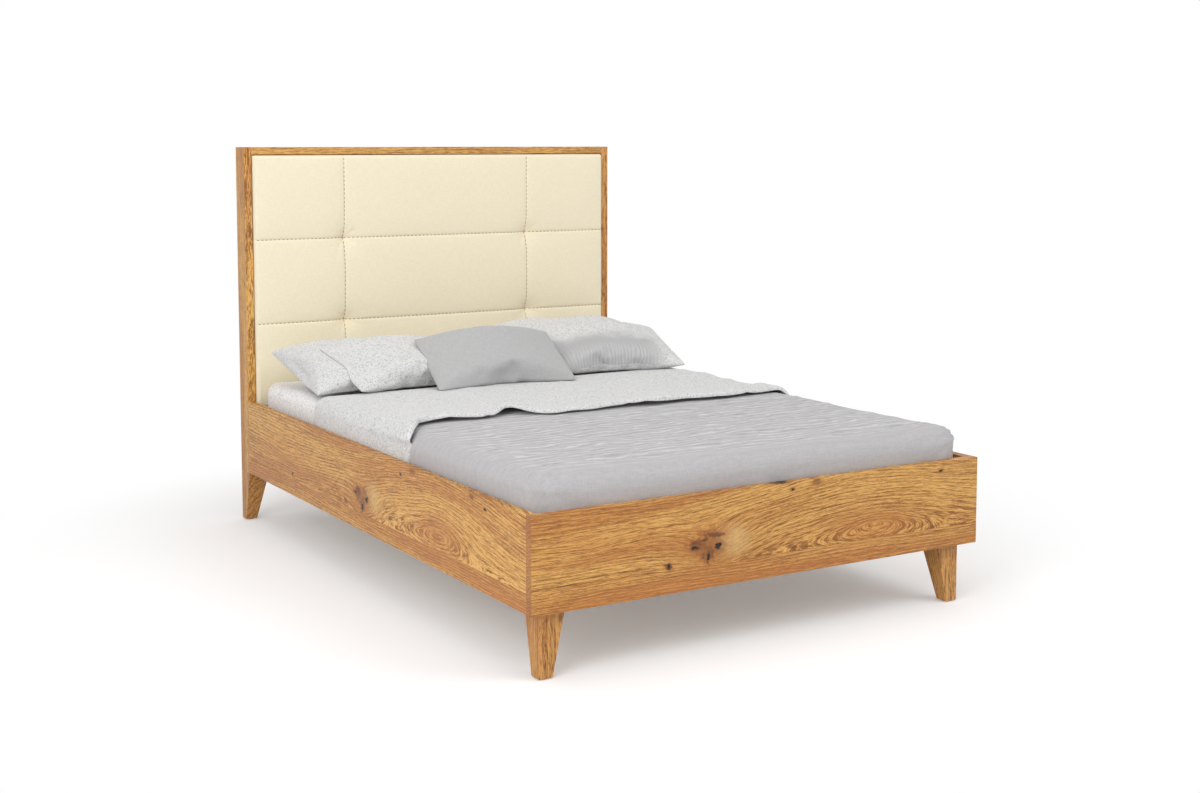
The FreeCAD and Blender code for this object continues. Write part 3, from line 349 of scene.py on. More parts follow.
def make_oak_group():
    """Oak seen on any face of a board: rings, streaks and pores that follow them, staves."""
    group, given, leave = new_group(
        "oak board",
        {"Place": VECTOR, "Growth": FLOAT, "Glue line": FLOAT, "Light": COLOUR,
         "Middle": COLOUR, "Dark": COLOUR, "Rings across": FLOAT, "Waviness": FLOAT,
         "End grain": FLOAT},
        {"Colour": COLOUR, "Roughness": FLOAT, "Height": FLOAT})
    board_height = split(given["Place"])[1]
    below = calc("LESS_THAN", board_height, given["Glue line"])
    other_stave = join(below * 1.7, below * 0.6, 0.0)
    place = vector_calc("ADD", given["Place"], other_stave)
    along, across, depth = split(place)

    sway = grain_noise(place, (1.2, 6.0, 6.0), 1.5)
    ripple = grain_noise(place, (10.0, 24.0, 24.0), 2.0)
    rings = across * given["Rings across"] + (sway - 0.5) * given["Waviness"]
    rings = rings + ripple * 0.75 + depth * 40.0 + given["Growth"] * (1.0 - below)
    flow = join(along, rings, depth)
    fine_flow = join(along, rings + across * 45.0, depth)

    ring = calc("FRACT", rings)
    late = level(ring, 0.3, 0.92) * level(ring, 1.0, 0.92)
    band = grain_noise(flow, (0.9, 0.16, 1.0), 2.0, 0.55)
    streak = grain_noise(fine_flow, (7.5, 2.7, 45.0), 3.0, 0.70)
    fibre = grain_noise(fine_flow, (36.0, 8.5, 320.0), 3.0, 0.72)
    pore = level(grain_noise(fine_flow, (44.0, 4.5, 300.0), 1.0), 0.60, 0.70)
    pore = pore * (1.0 - late * 0.55)

    tone = late * 0.38 + level(streak, 0.36, 0.64, -0.14, 0.50)
    tone = tone + level(fibre, 0.38, 0.62, -0.44, 0.52) + level(band, 0.36, 0.64, -0.10, 0.26)
    tone = calc("ADD", tone, below * 0.13, clamp=True)
    colour = blend_colour(level(tone, 0.0, 0.46, kind="LINEAR"), given["Light"], given["Middle"])
    colour = blend_colour(level(tone, 0.36, 1.05, kind="LINEAR"), colour, given["Dark"])
    warm = level(band, 0.44, 0.64, 0.0, 0.34) + below * 0.20
    colour = blend_colour(warm, colour, linear(196, 124, 64))
    colour = blend_colour(pore * 0.60, colour, linear(104, 64, 32))
    ends = level(grain_noise(place, (1.0, 700.0, 700.0), 2.0, 0.6), 0.3, 0.7, 0.35, 0.75)
    colour = blend_colour(given["End grain"] * ends, colour, linear(138, 80, 40))
    glue = level(abs(board_height - given["Glue line"]), 0.0009, 0.0, 0.0, 0.4)
    colour = blend_colour(glue, colour, linear(120, 72, 34))
    plug(leave, {"Colour": colour, "Roughness": late * 0.1 + 0.42,
                 "Height": fibre * 0.35 - pore - late * 0.25})
    return group


def make_knot_group():
    """The stain of one knot: a brown ragged ring, a dark heart and fine splits."""
    group, given, leave = new_group(
        "knot stain",
        {"Colour": COLOUR, "Place": VECTOR, "Distance": FLOAT, "Heart": FLOAT, "Brown": FLOAT},
        {"Colour": COLOUR, "Dent": FLOAT})
    rag = grain_noise(given["Place"], (75.0, 120.0, 90.0), 4.0, 0.7)
    edge = given["Distance"] + (rag - 0.5) * 2.2
    heart = level(edge, given["Heart"], given["Heart"] * 0.6)
    warm = blend_colour(level(edge, 1.8, 0.8) * 0.35, given["Colour"], linear(176, 112, 55))
    stained = blend_colour(level(edge, 1.0, 0.45) * given["Brown"], warm, linear(104, 62, 34))
    plug(leave, {"Colour": blend_colour(heart, stained, linear(30, 21, 17)), "Dent": heart})
    return group


ring_figure = make_figure_group()
oak_board = make_oak_group()
knot_stain = make_knot_group()


def wood_colours(light, middle, dark):
    return {"Light": linear(*light), "Middle": linear(*middle), "Dark": linear(*dark)}


PANEL_OAK = wood_colours((224, 174, 98), (195, 139, 70), (106, 63, 28))
# Darker oak for the legs, and for the right headboard post, where it is painted shade.
LEG_AND_SHADED_POST_OAK = wood_colours((210, 157, 90), (184, 129, 68), (116, 72, 36))
PINE = wood_colours((236, 208, 160), (222, 187, 132), (190, 145, 90))
PLY = wood_colours((206, 160, 104), (194, 146, 90), (166, 116, 66))

# Which axes run along the grain, across it and through the board.
GRAIN_ORDER = {"X": (0, 2, 1), "Y": (1, 2, 0), "Z": (2, 1, 0)}
NO_GLUE = -9.0       # a glue line far below every board
HEART_DEPTH = 0.055  # how deep the heart of the tree lies far from where the cut meets it
HEART_DRIFT = 0.062  # how far the heart sinks across the board on the way
TINT_BROWN = linear(184, 116, 58)
TINT_PALE = linear(226, 194, 132)


def heart_growth(along, across, heart, rings):
    """What turns straight rings into rings round the heart of the tree."""
    heart_along, heart_across, slope = heart
    gone = abs(along - heart_along)
    deep = calc("TANH", gone * (slope / HEART_DEPTH)) * HEART_DEPTH
    drift = calc("TANH", gone * gone * 4.0) * HEART_DRIFT
    high = across - heart_across + drift
    radius = calc("SQRT", deep * deep + high * high)
    return (radius - across) * rings


def oak_material(name, grain, offset, glue_line=NO_GLUE, swellings=(), knots=(), heart=None,
                 colours=PANEL_OAK, rings=118.0, waviness=7.0, dull=0.0):
    """Wood for one board.

    The heart is the place (along, across) where the cut comes nearest to the middle of
    the tree, with the slope of the cut: the rings lie round it as nested ovals.
    Swellings are (along, across, half length, half height, rings). Knots are the same,
    with the size of the dark heart and the strength of the brown added; where that size
    is None they only tint the wood, brown above 0 and pale below.
    """
    material, tree, shader = new_material(name)
    coordinates = signals(put(tree, "ShaderNodeTexCoord").outputs)
    order = GRAIN_ORDER[grain]
    place, facing = split(coordinates["Object"]), split(coordinates["Normal"])
    along, across, through = (place[axis] for axis in order)
    board = join(along, across, through)
    growth = heart_growth(along, across, heart, rings) if heart else 0.0
    stains = []
    for at_along, at_across, half_long, half_high, count, *stain in (*swellings, *knots):
        figure = use_group(ring_figure, {
            "Place": board, "Centre": (at_along, at_across, 0), "Rings": count,
            "Half size": (half_long, half_high, 1)})
        growth = figure["Growth"] + growth
        stains.append((figure["Distance"], *(stain or (None, 0.30))))
    oak = use_group(oak_board, {
        "Place": result(tree, "ShaderNodeMapping", {"Vector": board, "Location": offset}),
        "Growth": growth, "Glue line": glue_line + offset[1], "Rings across": rings,
        "Waviness": waviness, "End grain": level(abs(facing[order[0]]), 0.75, 0.95),
        **colours})
    colour, height = oak["Colour"], oak["Height"]
    for distance, dark_heart, brown in stains:
        if dark_heart is None:
            share = level(distance, 1.8, 0.1, 0.0, abs(brown))
            colour = blend_colour(share, colour, TINT_BROWN if brown > 0 else TINT_PALE)
            continue
        stain = use_group(knot_stain, {"Colour": colour, "Place": board, "Brown": brown,
                                       "Distance": distance, "Heart": dark_heart})
        colour = stain["Colour"]
        height = height - stain["Dent"] * 3.0
    plug(shader, {"Base Color": colour, "Roughness": oak["Roughness"] + dull,
                  "Specular IOR Level": 0.35, "Normal": bump(height, 0.0004, 0.6)})
    return material


RAIL_HEART = (-0.557, 0.268, 0.22)
RAIL_SWELLINGS = ((-0.557, 0.268, 0.16, 0.050, 0.0), (0.62, 0.30, 0.26, 0.05, 3.0))
RAIL_KNOTS = (
    (-0.045, 0.268, 0.085, 0.050, 6.0, 0.0, 0.25),
    (-0.100, 0.285, 0.048, 0.036, 0.0, None, -0.5),
    (-0.020, 0.278, 0.060, 0.040, 0.0, 0.0, 0.55),
    (0.012, 0.286, 0.034, 0.020, 1.0, 0.0, 0.95),
    (-0.024, 0.254, 0.020, 0.030, 1.0, 0.0, 0.90),
    (0.028, 0.284, 0.020, 0.007, 0.5, 0.50, 0.9),
    (-0.054, 0.275, 0.014, 0.011, 1.0, 0.80, 0.9),
    (-0.023, 0.247, 0.009, 0.022, 0.6, 0.65, 0.9),
    (0.106, 0.243, 0.016, 0.010, 0.4, 0.2, 0.7),
    (0.553, 0.248, 0.010, 0.008, 0.4, 0.6, 0.8),
    (-0.300, 0.393, 0.012, 0.007, 0.3, 0.5, 0.7),
    (-0.376, 0.414, 0.022, 0.010, 0.3, 0.0, 0.6),
    (-0.740, 0.412, 0.020, 0.008, 0.3, 0.2, 0.7),
    (-0.819, 0.393, 0.010, 0.006, 0.3, 0.6, 0.7),
)
FOOT_HEART = (0.350, 0.276, 0.22)
FOOT_SWELLINGS = ((0.350, 0.276, 0.17, 0.050, 0.0), (-0.55, 0.33, 0.22, 0.05, 3.0))
FOOT_KNOTS = (
    (-0.200, 0.282, 0.095, 0.055, 6.0, 0.0, 0.25),
    (-0.132, 0.290, 0.048, 0.036, 0.0, None, -0.55),
    (-0.204, 0.282, 0.060, 0.040, 0.0, 0.0, 0.55),
    (-0.242, 0.289, 0.034, 0.020, 1.0, 0.0, 0.95),
    (-0.208, 0.262, 0.020, 0.030, 1.0, 0.0, 0.90),
    (-0.252, 0.284, 0.020, 0.007, 0.5, 0.50, 0.9),
    (-0.222, 0.301, 0.018, 0.005, 0.3, 0.45, 0.9),
    (-0.178, 0.281, 0.014, 0.011, 1.0, 0.80, 0.9),
    (-0.209, 0.256, 0.009, 0.022, 0.6, 0.65, 0.9),
    (-0.188, 0.312, 0.040, 0.011, 0.4, 0.0, 0.85),
    (-0.332, 0.246, 0.016, 0.012, 0.5, 0.45, 0.8),
    (0.063, 0.402, 0.012, 0.007, 0.3, 0.4, 0.7),
    (0.143, 0.415, 0.022, 0.012, 0.3, 0.0, 0.6),
    (0.591, 0.398, 0.010, 0.006, 0.3, 0.6, 0.7),
    (0.030, 0.424, 0.050, 0.004, 0.3, 0.5, 0.7),
)
# name: (grain, offset, glue line, swellings, knots, heart)
OAK_BOARDS = {
    "foot_panel": ("X", (0.3, 0.1, 0.2), 0.2345, FOOT_SWELLINGS, FOOT_KNOTS, FOOT_HEART),
    "side_rail_left": ("Y", (1.9, 0.1, 0.4), 0.2265, RAIL_SWELLINGS, RAIL_KNOTS, RAIL_HEART),
    "side_rail_right": ("Y", (4.1, 0.3, 0.6), 0.3450, (), RAIL_KNOTS[3:9], (0.400, 0.390, 0.15)),
    "headboard_lower_board": ("X", (7.3, 0.6, 0.5), 0.2600, (), (), (0.2, 0.34, 0.2)),
    "headboard_top_rail": ("X", (5.2, 0.2, 0.8)),
    "headboard_post_left": ("Z", (0.7, 0.5, 0.1)),
    "headboard_post_right": ("Z", (2.7, 0.9, 0.3)),
    "leg_foot_left": ("Z", (0.2, 1.3, 0.9)),
    "leg_foot_right": ("Z", (1.2, 2.3, 1.9)),
    "leg_head_left": ("Z", (3.2, 1.1, 2.9)),
    "leg_head_right": ("Z", (4.2, 4.3, 0.4)),
}
PINE_BOARDS = ("slat_0", "slat_1", "slat_cleat", "corner_block", "cushion_batten", "centre_beam")


def dress_wood():
    """Give every wooden piece its own cut of oak or softwood."""
    for name, cut in OAK_BOARDS.items():
        # The legs and the right headboard post take the darker oak; on the right post the darker
        # colours are painted shade.
        leg_or_shaded_post = name.startswith("leg_") or name == "headboard_post_right"
        look = {"colours": LEG_AND_SHADED_POST_OAK, "waviness": 6.0} if leg_or_shaded_post else {"waviness": 8.0}
        give_material(nodes[name], oak_material(f"oak_{name}", *cut, **look))
    give_material(nodes["headboard_back_panel"], oak_material(
        "oak_faced_board", "Z", (0.4, 0.7, 0.2), colours=PLY, rings=18.0, waviness=16.0,
        dull=0.08))
    give_material(nodes["cushion_board"], oak_material(
        "pressed_board", "X", (0.1, 0.2, 0.3), colours=PLY, rings=3.0, waviness=3.0, dull=0.25))
    cuts = {"centre_leg": ("Z", (0.5, 0.1, 0.7)), "headboard_tenons": ("Z", (0.5, 0.1, 0.7))}
    softwood = sorted(name for name in nodes if name.startswith(PINE_BOARDS))
    for index, name in enumerate(softwood):
        grain = "Y" if name.startswith(("slat_cleat", "centre_beam")) else "X"
        cuts[name] = (grain, (index * 0.83, index * 0.37, 0.2))
    for name, cut in cuts.items():
        give_material(nodes[name], oak_material(
            f"softwood_{name}", *cut, colours=PINE, rings=60.0, waviness=5.0, dull=0.18))


# ---- metal and plastic

def make_worn_group():
    """Fine scuffs and dull patches for painted or plated metal and for plastic."""
    group, given, leave = new_group("scuffs", {"Place": VECTOR},
                                    {"Patch": FLOAT, "Scratch": FLOAT})
    patch = grain_noise(given["Place"], (60.0, 60.0, 60.0), 4.0)
    lines = grain_noise(given["Place"], (40.0, 900.0, 300.0), 3.0, 0.7)
    plug(leave, {"Patch": level(patch, 0.35, 0.7), "Scratch": level(lines, 0.55, 0.75)})
    return group


scuffs = make_worn_group()


def hard_material(name, colour, worn, metallic, roughness):
    """Paint, plating, thread or moulded plastic with uneven gloss."""
    material, tree, shader = new_material(name)
    place = signals(put(tree, "ShaderNodeTexCoord").outputs)["Object"]
    marks = use_group(scuffs, {"Place": place})
    grainy = grain_noise(place, (1400.0, 1400.0, 1400.0))
    plug(shader, {
        "Base Color": blend_colour(marks["Patch"] * 0.5, linear(*colour), linear(*worn)),
        "Roughness": level(marks["Scratch"], 0.0, 1.0, roughness, roughness + 0.14),
        "Metallic": metallic, "Normal": bump(grainy, 0.00008)})
    return material


def dress_hardware(zinc):
    powder = hard_material("black_powder_coat", (34, 34, 36), (52, 52, 54), 0.0, 0.48)
    nylon = hard_material("black_polyamide", (38, 38, 39), (58, 57, 56), 0.0, 0.55)
    for name in nodes:
        if name in ("bracket_bolts", "leg_bolts"):
            give_material(nodes[name], zinc)
        elif name in ("leg_glides", "centre_leg_foot"):
            give_material(nodes[name], nylon)
        elif name.startswith(("bracket_", "beam_hanger", "centre_leg_plate")):
            give_material(nodes[name], powder)


# ---- cloth materials

def make_weave_group():
    """Plain weave: threads over and under, from the cloth's own flat coordinates."""
    group, given, leave = new_group(
        "plain weave", {"Cloth": VECTOR, "Threads": FLOAT, "Slub": FLOAT},
        {"Height": FLOAT, "Thread": FLOAT})
    across, along, _ = split(given["Cloth"])
    turns = given["Threads"] * math.pi
    over = calc("SINE", across * turns) * calc("SINE", along * turns)
    uneven = (grain_noise(given["Cloth"], (300.0, 40.0, 1.0), 2.0, 0.6)
              + grain_noise(given["Cloth"], (40.0, 300.0, 1.0), 2.0, 0.6))
    plug(leave, {"Height": over * 0.5 + uneven * given["Slub"], "Thread": uneven - 1.0})
    return group


def make_speckle_group():
    """Small separate grey marks of uneven size printed on pale cotton."""
    group, given, leave = new_group("fleck", {"Cloth": VECTOR, "Size": FLOAT}, {"Fleck": FLOAT})
    wander = put(group, "ShaderNodeTexNoise",
                 {"Vector": given["Cloth"], "Scale": given["Size"], "Detail": 1.0})
    moved = vector_calc("MULTIPLY_ADD", Signal(wander.outputs[1]), (0.006, 0.006, 0.0),
                        given["Cloth"])
    marks = signals(put(group, "ShaderNodeTexVoronoi",
                        {"Vector": moved, "Scale": given["Size"]}).outputs)
    chance_of_size, chance_of_shade, _ = split(marks["Color"])
    size = level(chance_of_size, 0.0, 1.0, 0.34, 0.74)
    mark = level(marks["Distance"], size, size * 0.5)
    plug(leave, {"Fleck": mark * level(chance_of_shade, 0.1, 0.9, 0.25, 1.0)})
    return group


def make_rib_group():
    """Fine wavy ribs woven across the cloth, broken into short dashes, with painted highlight on
    their crests and painted shade in their hollows.
    """
    group, given, leave = new_group("wavy ribs", {"Cloth": VECTOR, "Ribs": FLOAT, "Sway": FLOAT},
                                    {"Rib": FLOAT, "Light": FLOAT, "Dark": FLOAT})
    bend = grain_noise(given["Cloth"], (4.5, 9.0, 1.0), 3.0, 0.6)
    breaks = grain_noise(given["Cloth"], (15.0, 42.0, 1.0), 2.0, 0.6)
    phase = split(given["Cloth"])[1] * given["Ribs"] + bend * (given["Sway"] * 4.0)
    rib = calc("SINE", phase * (2 * math.pi)) * level(breaks, 0.32, 0.58, 0.10, 1.0)
    plug(leave, {"Rib": rib * 0.5 + 0.5, "Light": level(rib, 0.35, 0.95),
                 "Dark": level(rib, -0.35, -0.95)})
    return group


plain_weave = make_weave_group()
fleck_print = make_speckle_group()
wavy_ribs = make_rib_group()

FLECK_SIZE = 250.0
RIB_LIGHT_AND_SHADE = 0.48   # how far the ribs' painted highlight and shade change the duvet's colour
RIB_DEPTH = 0.0009


def add_ribs(cloth, base, height, weave_depth):
    """The duvet's ribs, nearly gone where it hangs down at the sides and the foot."""
    bars = use_group(wavy_ribs, {"Cloth": cloth, "Ribs": 30.0, "Sway": 0.9})
    across, along, _ = split(cloth)
    lying = level(along, -1.01, -0.90) * level(abs(across), 0.69, 0.60) * 0.9 + 0.1
    share = lying * RIB_LIGHT_AND_SHADE
    # Painted highlight on the rib crests and painted shade in their hollows, strongest where the
    # duvet lies on top.
    base = blend_colour(bars["Light"] * share, base, linear(224, 224, 226))
    base = blend_colour(bars["Dark"] * share, base, linear(132, 131, 134))
    return base, height + lying * (bars["Rib"] * (RIB_DEPTH / weave_depth))


def add_gather(cloth, base, height):
    """A grey part, gathered in folds towards the front edge, with painted highlight on the folds'
    crests.
    """
    across, along, _ = split(cloth)
    wander = (grain_noise(cloth, (14.0, 14.0, 14.0)) - 0.5) * 0.09
    inner = level(across + wander, 0.20, 0.11)
    grey = level(along + wander, 0.045, -0.050) * inner
    bars = use_group(wavy_ribs, {"Cloth": join(along, across), "Ribs": 74.0, "Sway": 1.1})
    gather = bars["Rib"] * level(along, -0.03, -0.12) * inner
    # The folds' crests painted lighter than their hollows: painted highlight and shade of the
    # gathers over the grey's own colour.
    folds = blend_colour(gather, linear(174, 174, 175), linear(192, 192, 193))
    return blend_colour(grey, base, folds), height + gather * 4.0


def cloth_material(name, colour, shade, threads=900.0, fleck=0.0, ribbed=False,
                   weave_depth=0.00012, sheen=0.25, slub=0.3, gathered=False):
    """Woven cloth, plain, flecked or ribbed, or with a grey gathered part at the front."""
    material, tree, shader = new_material(name)
    cloth = result(tree, "ShaderNodeUVMap", uv_map="cloth")
    weave = use_group(plain_weave, {"Cloth": cloth, "Threads": threads, "Slub": slub})
    base = blend_colour(level(weave["Thread"], -0.25, 0.25), linear(*colour), linear(*shade))
    height = weave["Height"]
    if fleck:
        spots = use_group(fleck_print, {"Cloth": cloth, "Size": FLECK_SIZE})
        base = blend_colour(spots["Fleck"] * fleck, base, linear(132, 133, 138))
    if ribbed:
        base, height = add_ribs(cloth, base, height, weave_depth)
    if gathered:
        base, height = add_gather(cloth, base, height)
    plug(shader, {"Base Color": base, "Roughness": 0.85, "Specular IOR Level": 0.2,
                  "Sheen Weight": sheen, "Sheen Roughness": 0.5,
                  "Normal": bump(height, weave_depth, 0.7)})
    return material


# ---- upholstered headboard panel

PANEL_HALF = 0.7006
PANEL_LOW, PANEL_HIGH = 0.401, 1.2776
PANEL_BACK = 1.001
PANEL_RIM = 0.012
PANEL_CROWN = 0.0085
SEAM_FRONT = 0.967
SEAM_DEPTH, SEAM_WIDTH = 0.0026, 0.0030
UPRIGHT_SEAMS = (-0.367, 0.367)
LEVEL_SEAMS = (0.6932, 0.9854)
TUFT_HOLLOWS = ((0.0060, 0.065, 1.6), (0.0165, 0.026, 1.5))  # depth, reach, power
PLEAT_DEPTH, PLEAT_PLACE, PLEAT_REACH = 0.0011, 0.036, 0.026
RIM_STEPS_MM = (0.4, 1.0, 2.0, 3.4, 5.2, 7.5, 10.0, 12.5, 16.0)
COARSE_STEP, FINE_STEP, FINE_STEPS = 0.010, 0.003, 11


def spread_lines(low, high, seams):
    """Grid lines along one side of the panel, close together at the rim and the seams."""
    marks = {low, high}
    for step in RIM_STEPS_MM:
        marks.update((low + step * MM, high - step * MM))
    for seam in seams:
        marks.update(seam + index * FINE_STEP for index in range(-FINE_STEPS, FINE_STEPS + 1))
    count = int((high - low) / COARSE_STEP)
    for index in range(1, count):
        spot = low + (high - low) * index / count
        if min(abs(spot - mark) for mark in marks) > COARSE_STEP * 0.45:
            marks.add(spot)
    return np.array(sorted(marks))


def field_crown(value, low, high, seams, power):
    """How full the padding is between two seams: 0 at a seam, 1 in the middle."""
    stops = np.array([low, *seams, high])
    index = np.clip(np.searchsorted(stops, value, side="right") - 1, 0, len(stops) - 2)
    share = (value - stops[index]) / (stops[index + 1] - stops[index])
    return 1 - np.abs(2 * share - 1) ** power


def panel_front(x, z):
    """Y of the upholstery's front: crowned fields, stitched seams, four deep tufts."""
    crown_x = np.maximum(field_crown(x, -PANEL_HALF, PANEL_HALF, UPRIGHT_SEAMS, 4.0), 0)
    crown_z = np.maximum(field_crown(z, PANEL_LOW, PANEL_HIGH, LEVEL_SEAMS, 2.6), 0)
    rise = PANEL_CROWN * (crown_x * crown_z) ** 0.55
    for value, seams in ((x, UPRIGHT_SEAMS), (z, LEVEL_SEAMS)):
        away = np.minimum.reduce([np.abs(value - seam) for seam in seams])
        rise -= SEAM_DEPTH * fading(away, SEAM_WIDTH)
    for seam_x in UPRIGHT_SEAMS:
        for seam_z in LEVEL_SEAMS:
            dx, dz = x - seam_x, z - seam_z
            away = np.sqrt(dx ** 2 + dz ** 2) + 1e-9
            for depth, reach, power in TUFT_HOLLOWS:
                rise -= depth * fading(away, reach, power)
            turn = np.arctan2(dz, dx)
            pleat = np.cos(turn * 7 + seam_x * 9) * 0.5 + np.cos(turn * 11 + seam_z * 5) * 0.5
            rise -= PLEAT_DEPTH * pleat * fading(away - PLEAT_PLACE, PLEAT_REACH)
    return SEAM_FRONT - rise


def make_panel():
    """The closed cushion of the headboard: front, rounded rim, sides and back."""
    columns = spread_lines(-PANEL_HALF, PANEL_HALF, UPRIGHT_SEAMS)
    rows = spread_lines(PANEL_LOW, PANEL_HIGH, LEVEL_SEAMS)
    cloth = flat_grid(columns, rows)
    x, z = cloth[:, 0], cloth[:, 1]
    y = panel_front(x, z)
    edge_x = np.minimum(x + PANEL_HALF, PANEL_HALF - x)
    edge_z = np.minimum(z - PANEL_LOW, PANEL_HIGH - z)
    for edge in (edge_x, edge_z):
        share = np.clip(1 - edge / PANEL_RIM, 0, 1)
        y += PANEL_RIM * (1 - np.sqrt(1 - np.minimum(share, 0.999) ** 2)) * 0.95
    y = np.minimum(y, PANEL_BACK - 0.004)
    points = np.stack([x, y, z], axis=1)
    drift = waves(points, 9.0, 4, octaves=2)
    points[:, 1] += 0.0006 * drift * ease(0.0, 0.03, np.minimum(edge_x, edge_z))
    piece = mesh_piece("headboard_upholstery", points, grid_faces(len(rows), len(columns)), cloth)
    with shell_of(piece) as shell:
        border = [edge for edge in shell.edges if edge.is_boundary]
        grown = bmesh.ops.extrude_edge_only(shell, edges=border)["geom"]
        for item in grown:
            if isinstance(item, bmesh.types.BMVert):
                item.co.y = PANEL_BACK
        rim_edges = [item for item in grown if isinstance(item, bmesh.types.BMEdge)]
        bmesh.ops.contextual_create(shell, geom=rim_edges)
        bmesh.ops.recalc_face_normals(shell, faces=shell.faces)
    for polygon in piece.data.polygons:
        polygon.use_smooth = polygon.normal.y < 0.5
    return piece


def grow_along(name, paths, material, make_copy, settings, pitch, aim=None):
    """Set copies of one small shape along lines with Geometry Nodes, as one plain mesh."""
    line = bpy.data.meshes.new(name)
    points, edges = [], []
    for path in paths:
        first = len(points)
        points += [tuple(point) for point in path]
        edges += [(first + index, first + index + 1) for index in range(len(path) - 1)]
    line.from_pydata(points, edges, [])
    guide = add_object(f"{name}_guide", line)

    values = {"Pitch": pitch, **settings}
    tree = bpy.data.node_groups.new(name, "GeometryNodeTree")
    tree.interface.new_socket("Geometry", in_out="INPUT", socket_type="NodeSocketGeometry")
    for label in values:
        tree.interface.new_socket(label, in_out="INPUT", socket_type=FLOAT)
    tree.interface.new_socket("Geometry", in_out="OUTPUT", socket_type="NodeSocketGeometry")
    given = signals(tree.nodes.new("NodeGroupInput").outputs)
    curve = result(tree, "GeometryNodeMeshToCurve", {0: given["Geometry"]})
    even = result(tree, "GeometryNodeResampleCurve", {"Curve": curve, "Length": given["Pitch"]},
                  mode="LENGTH")
    direction = result(tree, "GeometryNodeInputTangent") if aim is None else aim
    turned = result(tree, "FunctionNodeAlignRotationToVector", {"Vector": direction}, axis="Z")
    placed = result(tree, "GeometryNodeInstanceOnPoints",
                    {"Points": even, "Instance": make_copy(tree, given), "Rotation": turned})
    solid = result(tree, "GeometryNodeRealizeInstances", {0: placed})
    finish = result(tree, "GeometryNodeSetMaterial", {"Geometry": solid, "Material": material})
    put(tree, "NodeGroupOutput", {0: finish})

    modifier = guide.modifiers.new(name, "NODES")
    modifier.node_group = tree
    for item in tree.interface.items_tree:
        if item.in_out == "INPUT" and item.name in values:
            modifier[item.identifier] = values[item.name]
    bpy.context.view_layer.update()
    graph = bpy.context.evaluated_depsgraph_get()
    mesh = bpy.data.meshes.new_from_object(guide.evaluated_get(graph))
    guide.modifiers.remove(modifier)
    bpy.data.objects.remove(guide)
    mesh.name = name
    mesh.polygons.foreach_set("use_smooth", [True] * len(mesh.polygons))
    piece = add_object(name, mesh)
    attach(piece, "root")


def stitch_copy(tree, given):
    """One stitch: a grain-shaped bead of thread."""
    bead = result(tree, "GeometryNodeMeshUVSphere", {"Segments": 8, "Rings": 6, "Radius": 1.0})
    radius = given["Thread radius"]
    return result(tree, "GeometryNodeTransform",
                  {"Geometry": bead, "Scale": join(radius, radius, given["Stitch length"] * 0.5)})


def screw_copy(tree, given):
    """One screw head: a low disc with a square recess in its middle."""
    radius, height = given["Head radius"], given["Head height"]
    disc = result(tree, "GeometryNodeMeshCylinder",
                  {"Vertices": 20, "Radius": radius, "Depth": height})
    square = result(tree, "GeometryNodeMeshCylinder",
                    {"Vertices": 4, "Radius": radius * 0.45, "Depth": height})
    recess = result(tree, "GeometryNodeTransform",
                    {"Geometry": square, "Translation": join(0.0, 0.0, height * 0.7)})
    return result(tree, "GeometryNodeMeshBoolean", {"Mesh 1": disc, "Mesh 2": recess},
                  operation="DIFFERENCE")


def make_stitches(material):
    """Topstitching that lies in the four seams of the headboard."""
    end_gap, sink = 0.014, 0.0004
    places = []
    for seam in UPRIGHT_SEAMS:
        z = np.linspace(PANEL_LOW + end_gap, PANEL_HIGH - end_gap, 240)
        places.append((np.full(len(z), seam), z))
    for seam in LEVEL_SEAMS:
        x = np.linspace(-PANEL_HALF + end_gap, PANEL_HALF - end_gap, 380)
        places.append((x, np.full(len(x), seam)))
    paths = [np.stack([x, panel_front(x, z) - sink, z], axis=1) for x, z in places]
    grow_along("headboard_stitching", paths, material, stitch_copy,
               {"Stitch length": 0.0100, "Thread radius": 0.0013}, pitch=0.0150)


def make_back_screws(material):
    """Screws that hold the back panel in its rebate, near its edge all round."""
    low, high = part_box("headboard_back_panel")
    inset = 0.012
    left, right = low[0] + inset, high[0] - inset
    base, top = low[2] + inset, high[2] - inset
    back = high[1] + 0.0002
    corners = [(left, back, base), (right, back, base), (right, back, top), (left, back, top),
               (left, back, base)]
    grow_along("back_panel_screws", [corners], material, screw_copy,
               {"Head radius": 0.0038, "Head height": 0.0016}, pitch=0.158, aim=(0, 1, 0))


# ---- mattress, duvet and its fold

ENDLESS = 9.0        # further than any cloth reaches
SKIN_GAP = 0.0002    # keeps two faces that lie on each other apart
COVER_RADIUS, COVER_PLAN_RADIUS, COVER_HEM = 0.046, 0.014, 0.384


def wrap_over_edges(flat, half_wide, foot, head, top, radius, plan_radius, hem):
    """Bend flat cloth points over the rounded edges of a padded block.

    Where the foot or the head is None, the cloth runs on level past that end.
    """
    inset = radius + plan_radius
    low = np.array([-half_wide + inset, -ENDLESS if foot is None else foot + inset])
    high = np.array([half_wide - inset, ENDLESS if head is None else head - inset])
    nearest = np.clip(flat, low, high)
    away = flat - nearest
    distance = np.linalg.norm(away, axis=1)
    direction = away / np.maximum(distance, 1e-9)[:, None]
    beyond = np.maximum(distance - plan_radius, 0.0)
    beyond = np.minimum(beyond, radius * QUARTER_TURN + (top - radius - hem))
    angle = np.minimum(beyond / radius, QUARTER_TURN)
    straight = np.maximum(beyond - radius * QUARTER_TURN, 0.0)
    reach = np.minimum(distance, plan_radius) + radius * np.sin(angle)
    plan = nearest + direction * reach[:, None]
    height = top - radius * (1 - np.cos(angle)) - straight
    normal = np.column_stack([direction * np.sin(angle)[:, None], np.cos(angle)])
    return np.column_stack([plan, height]), normal


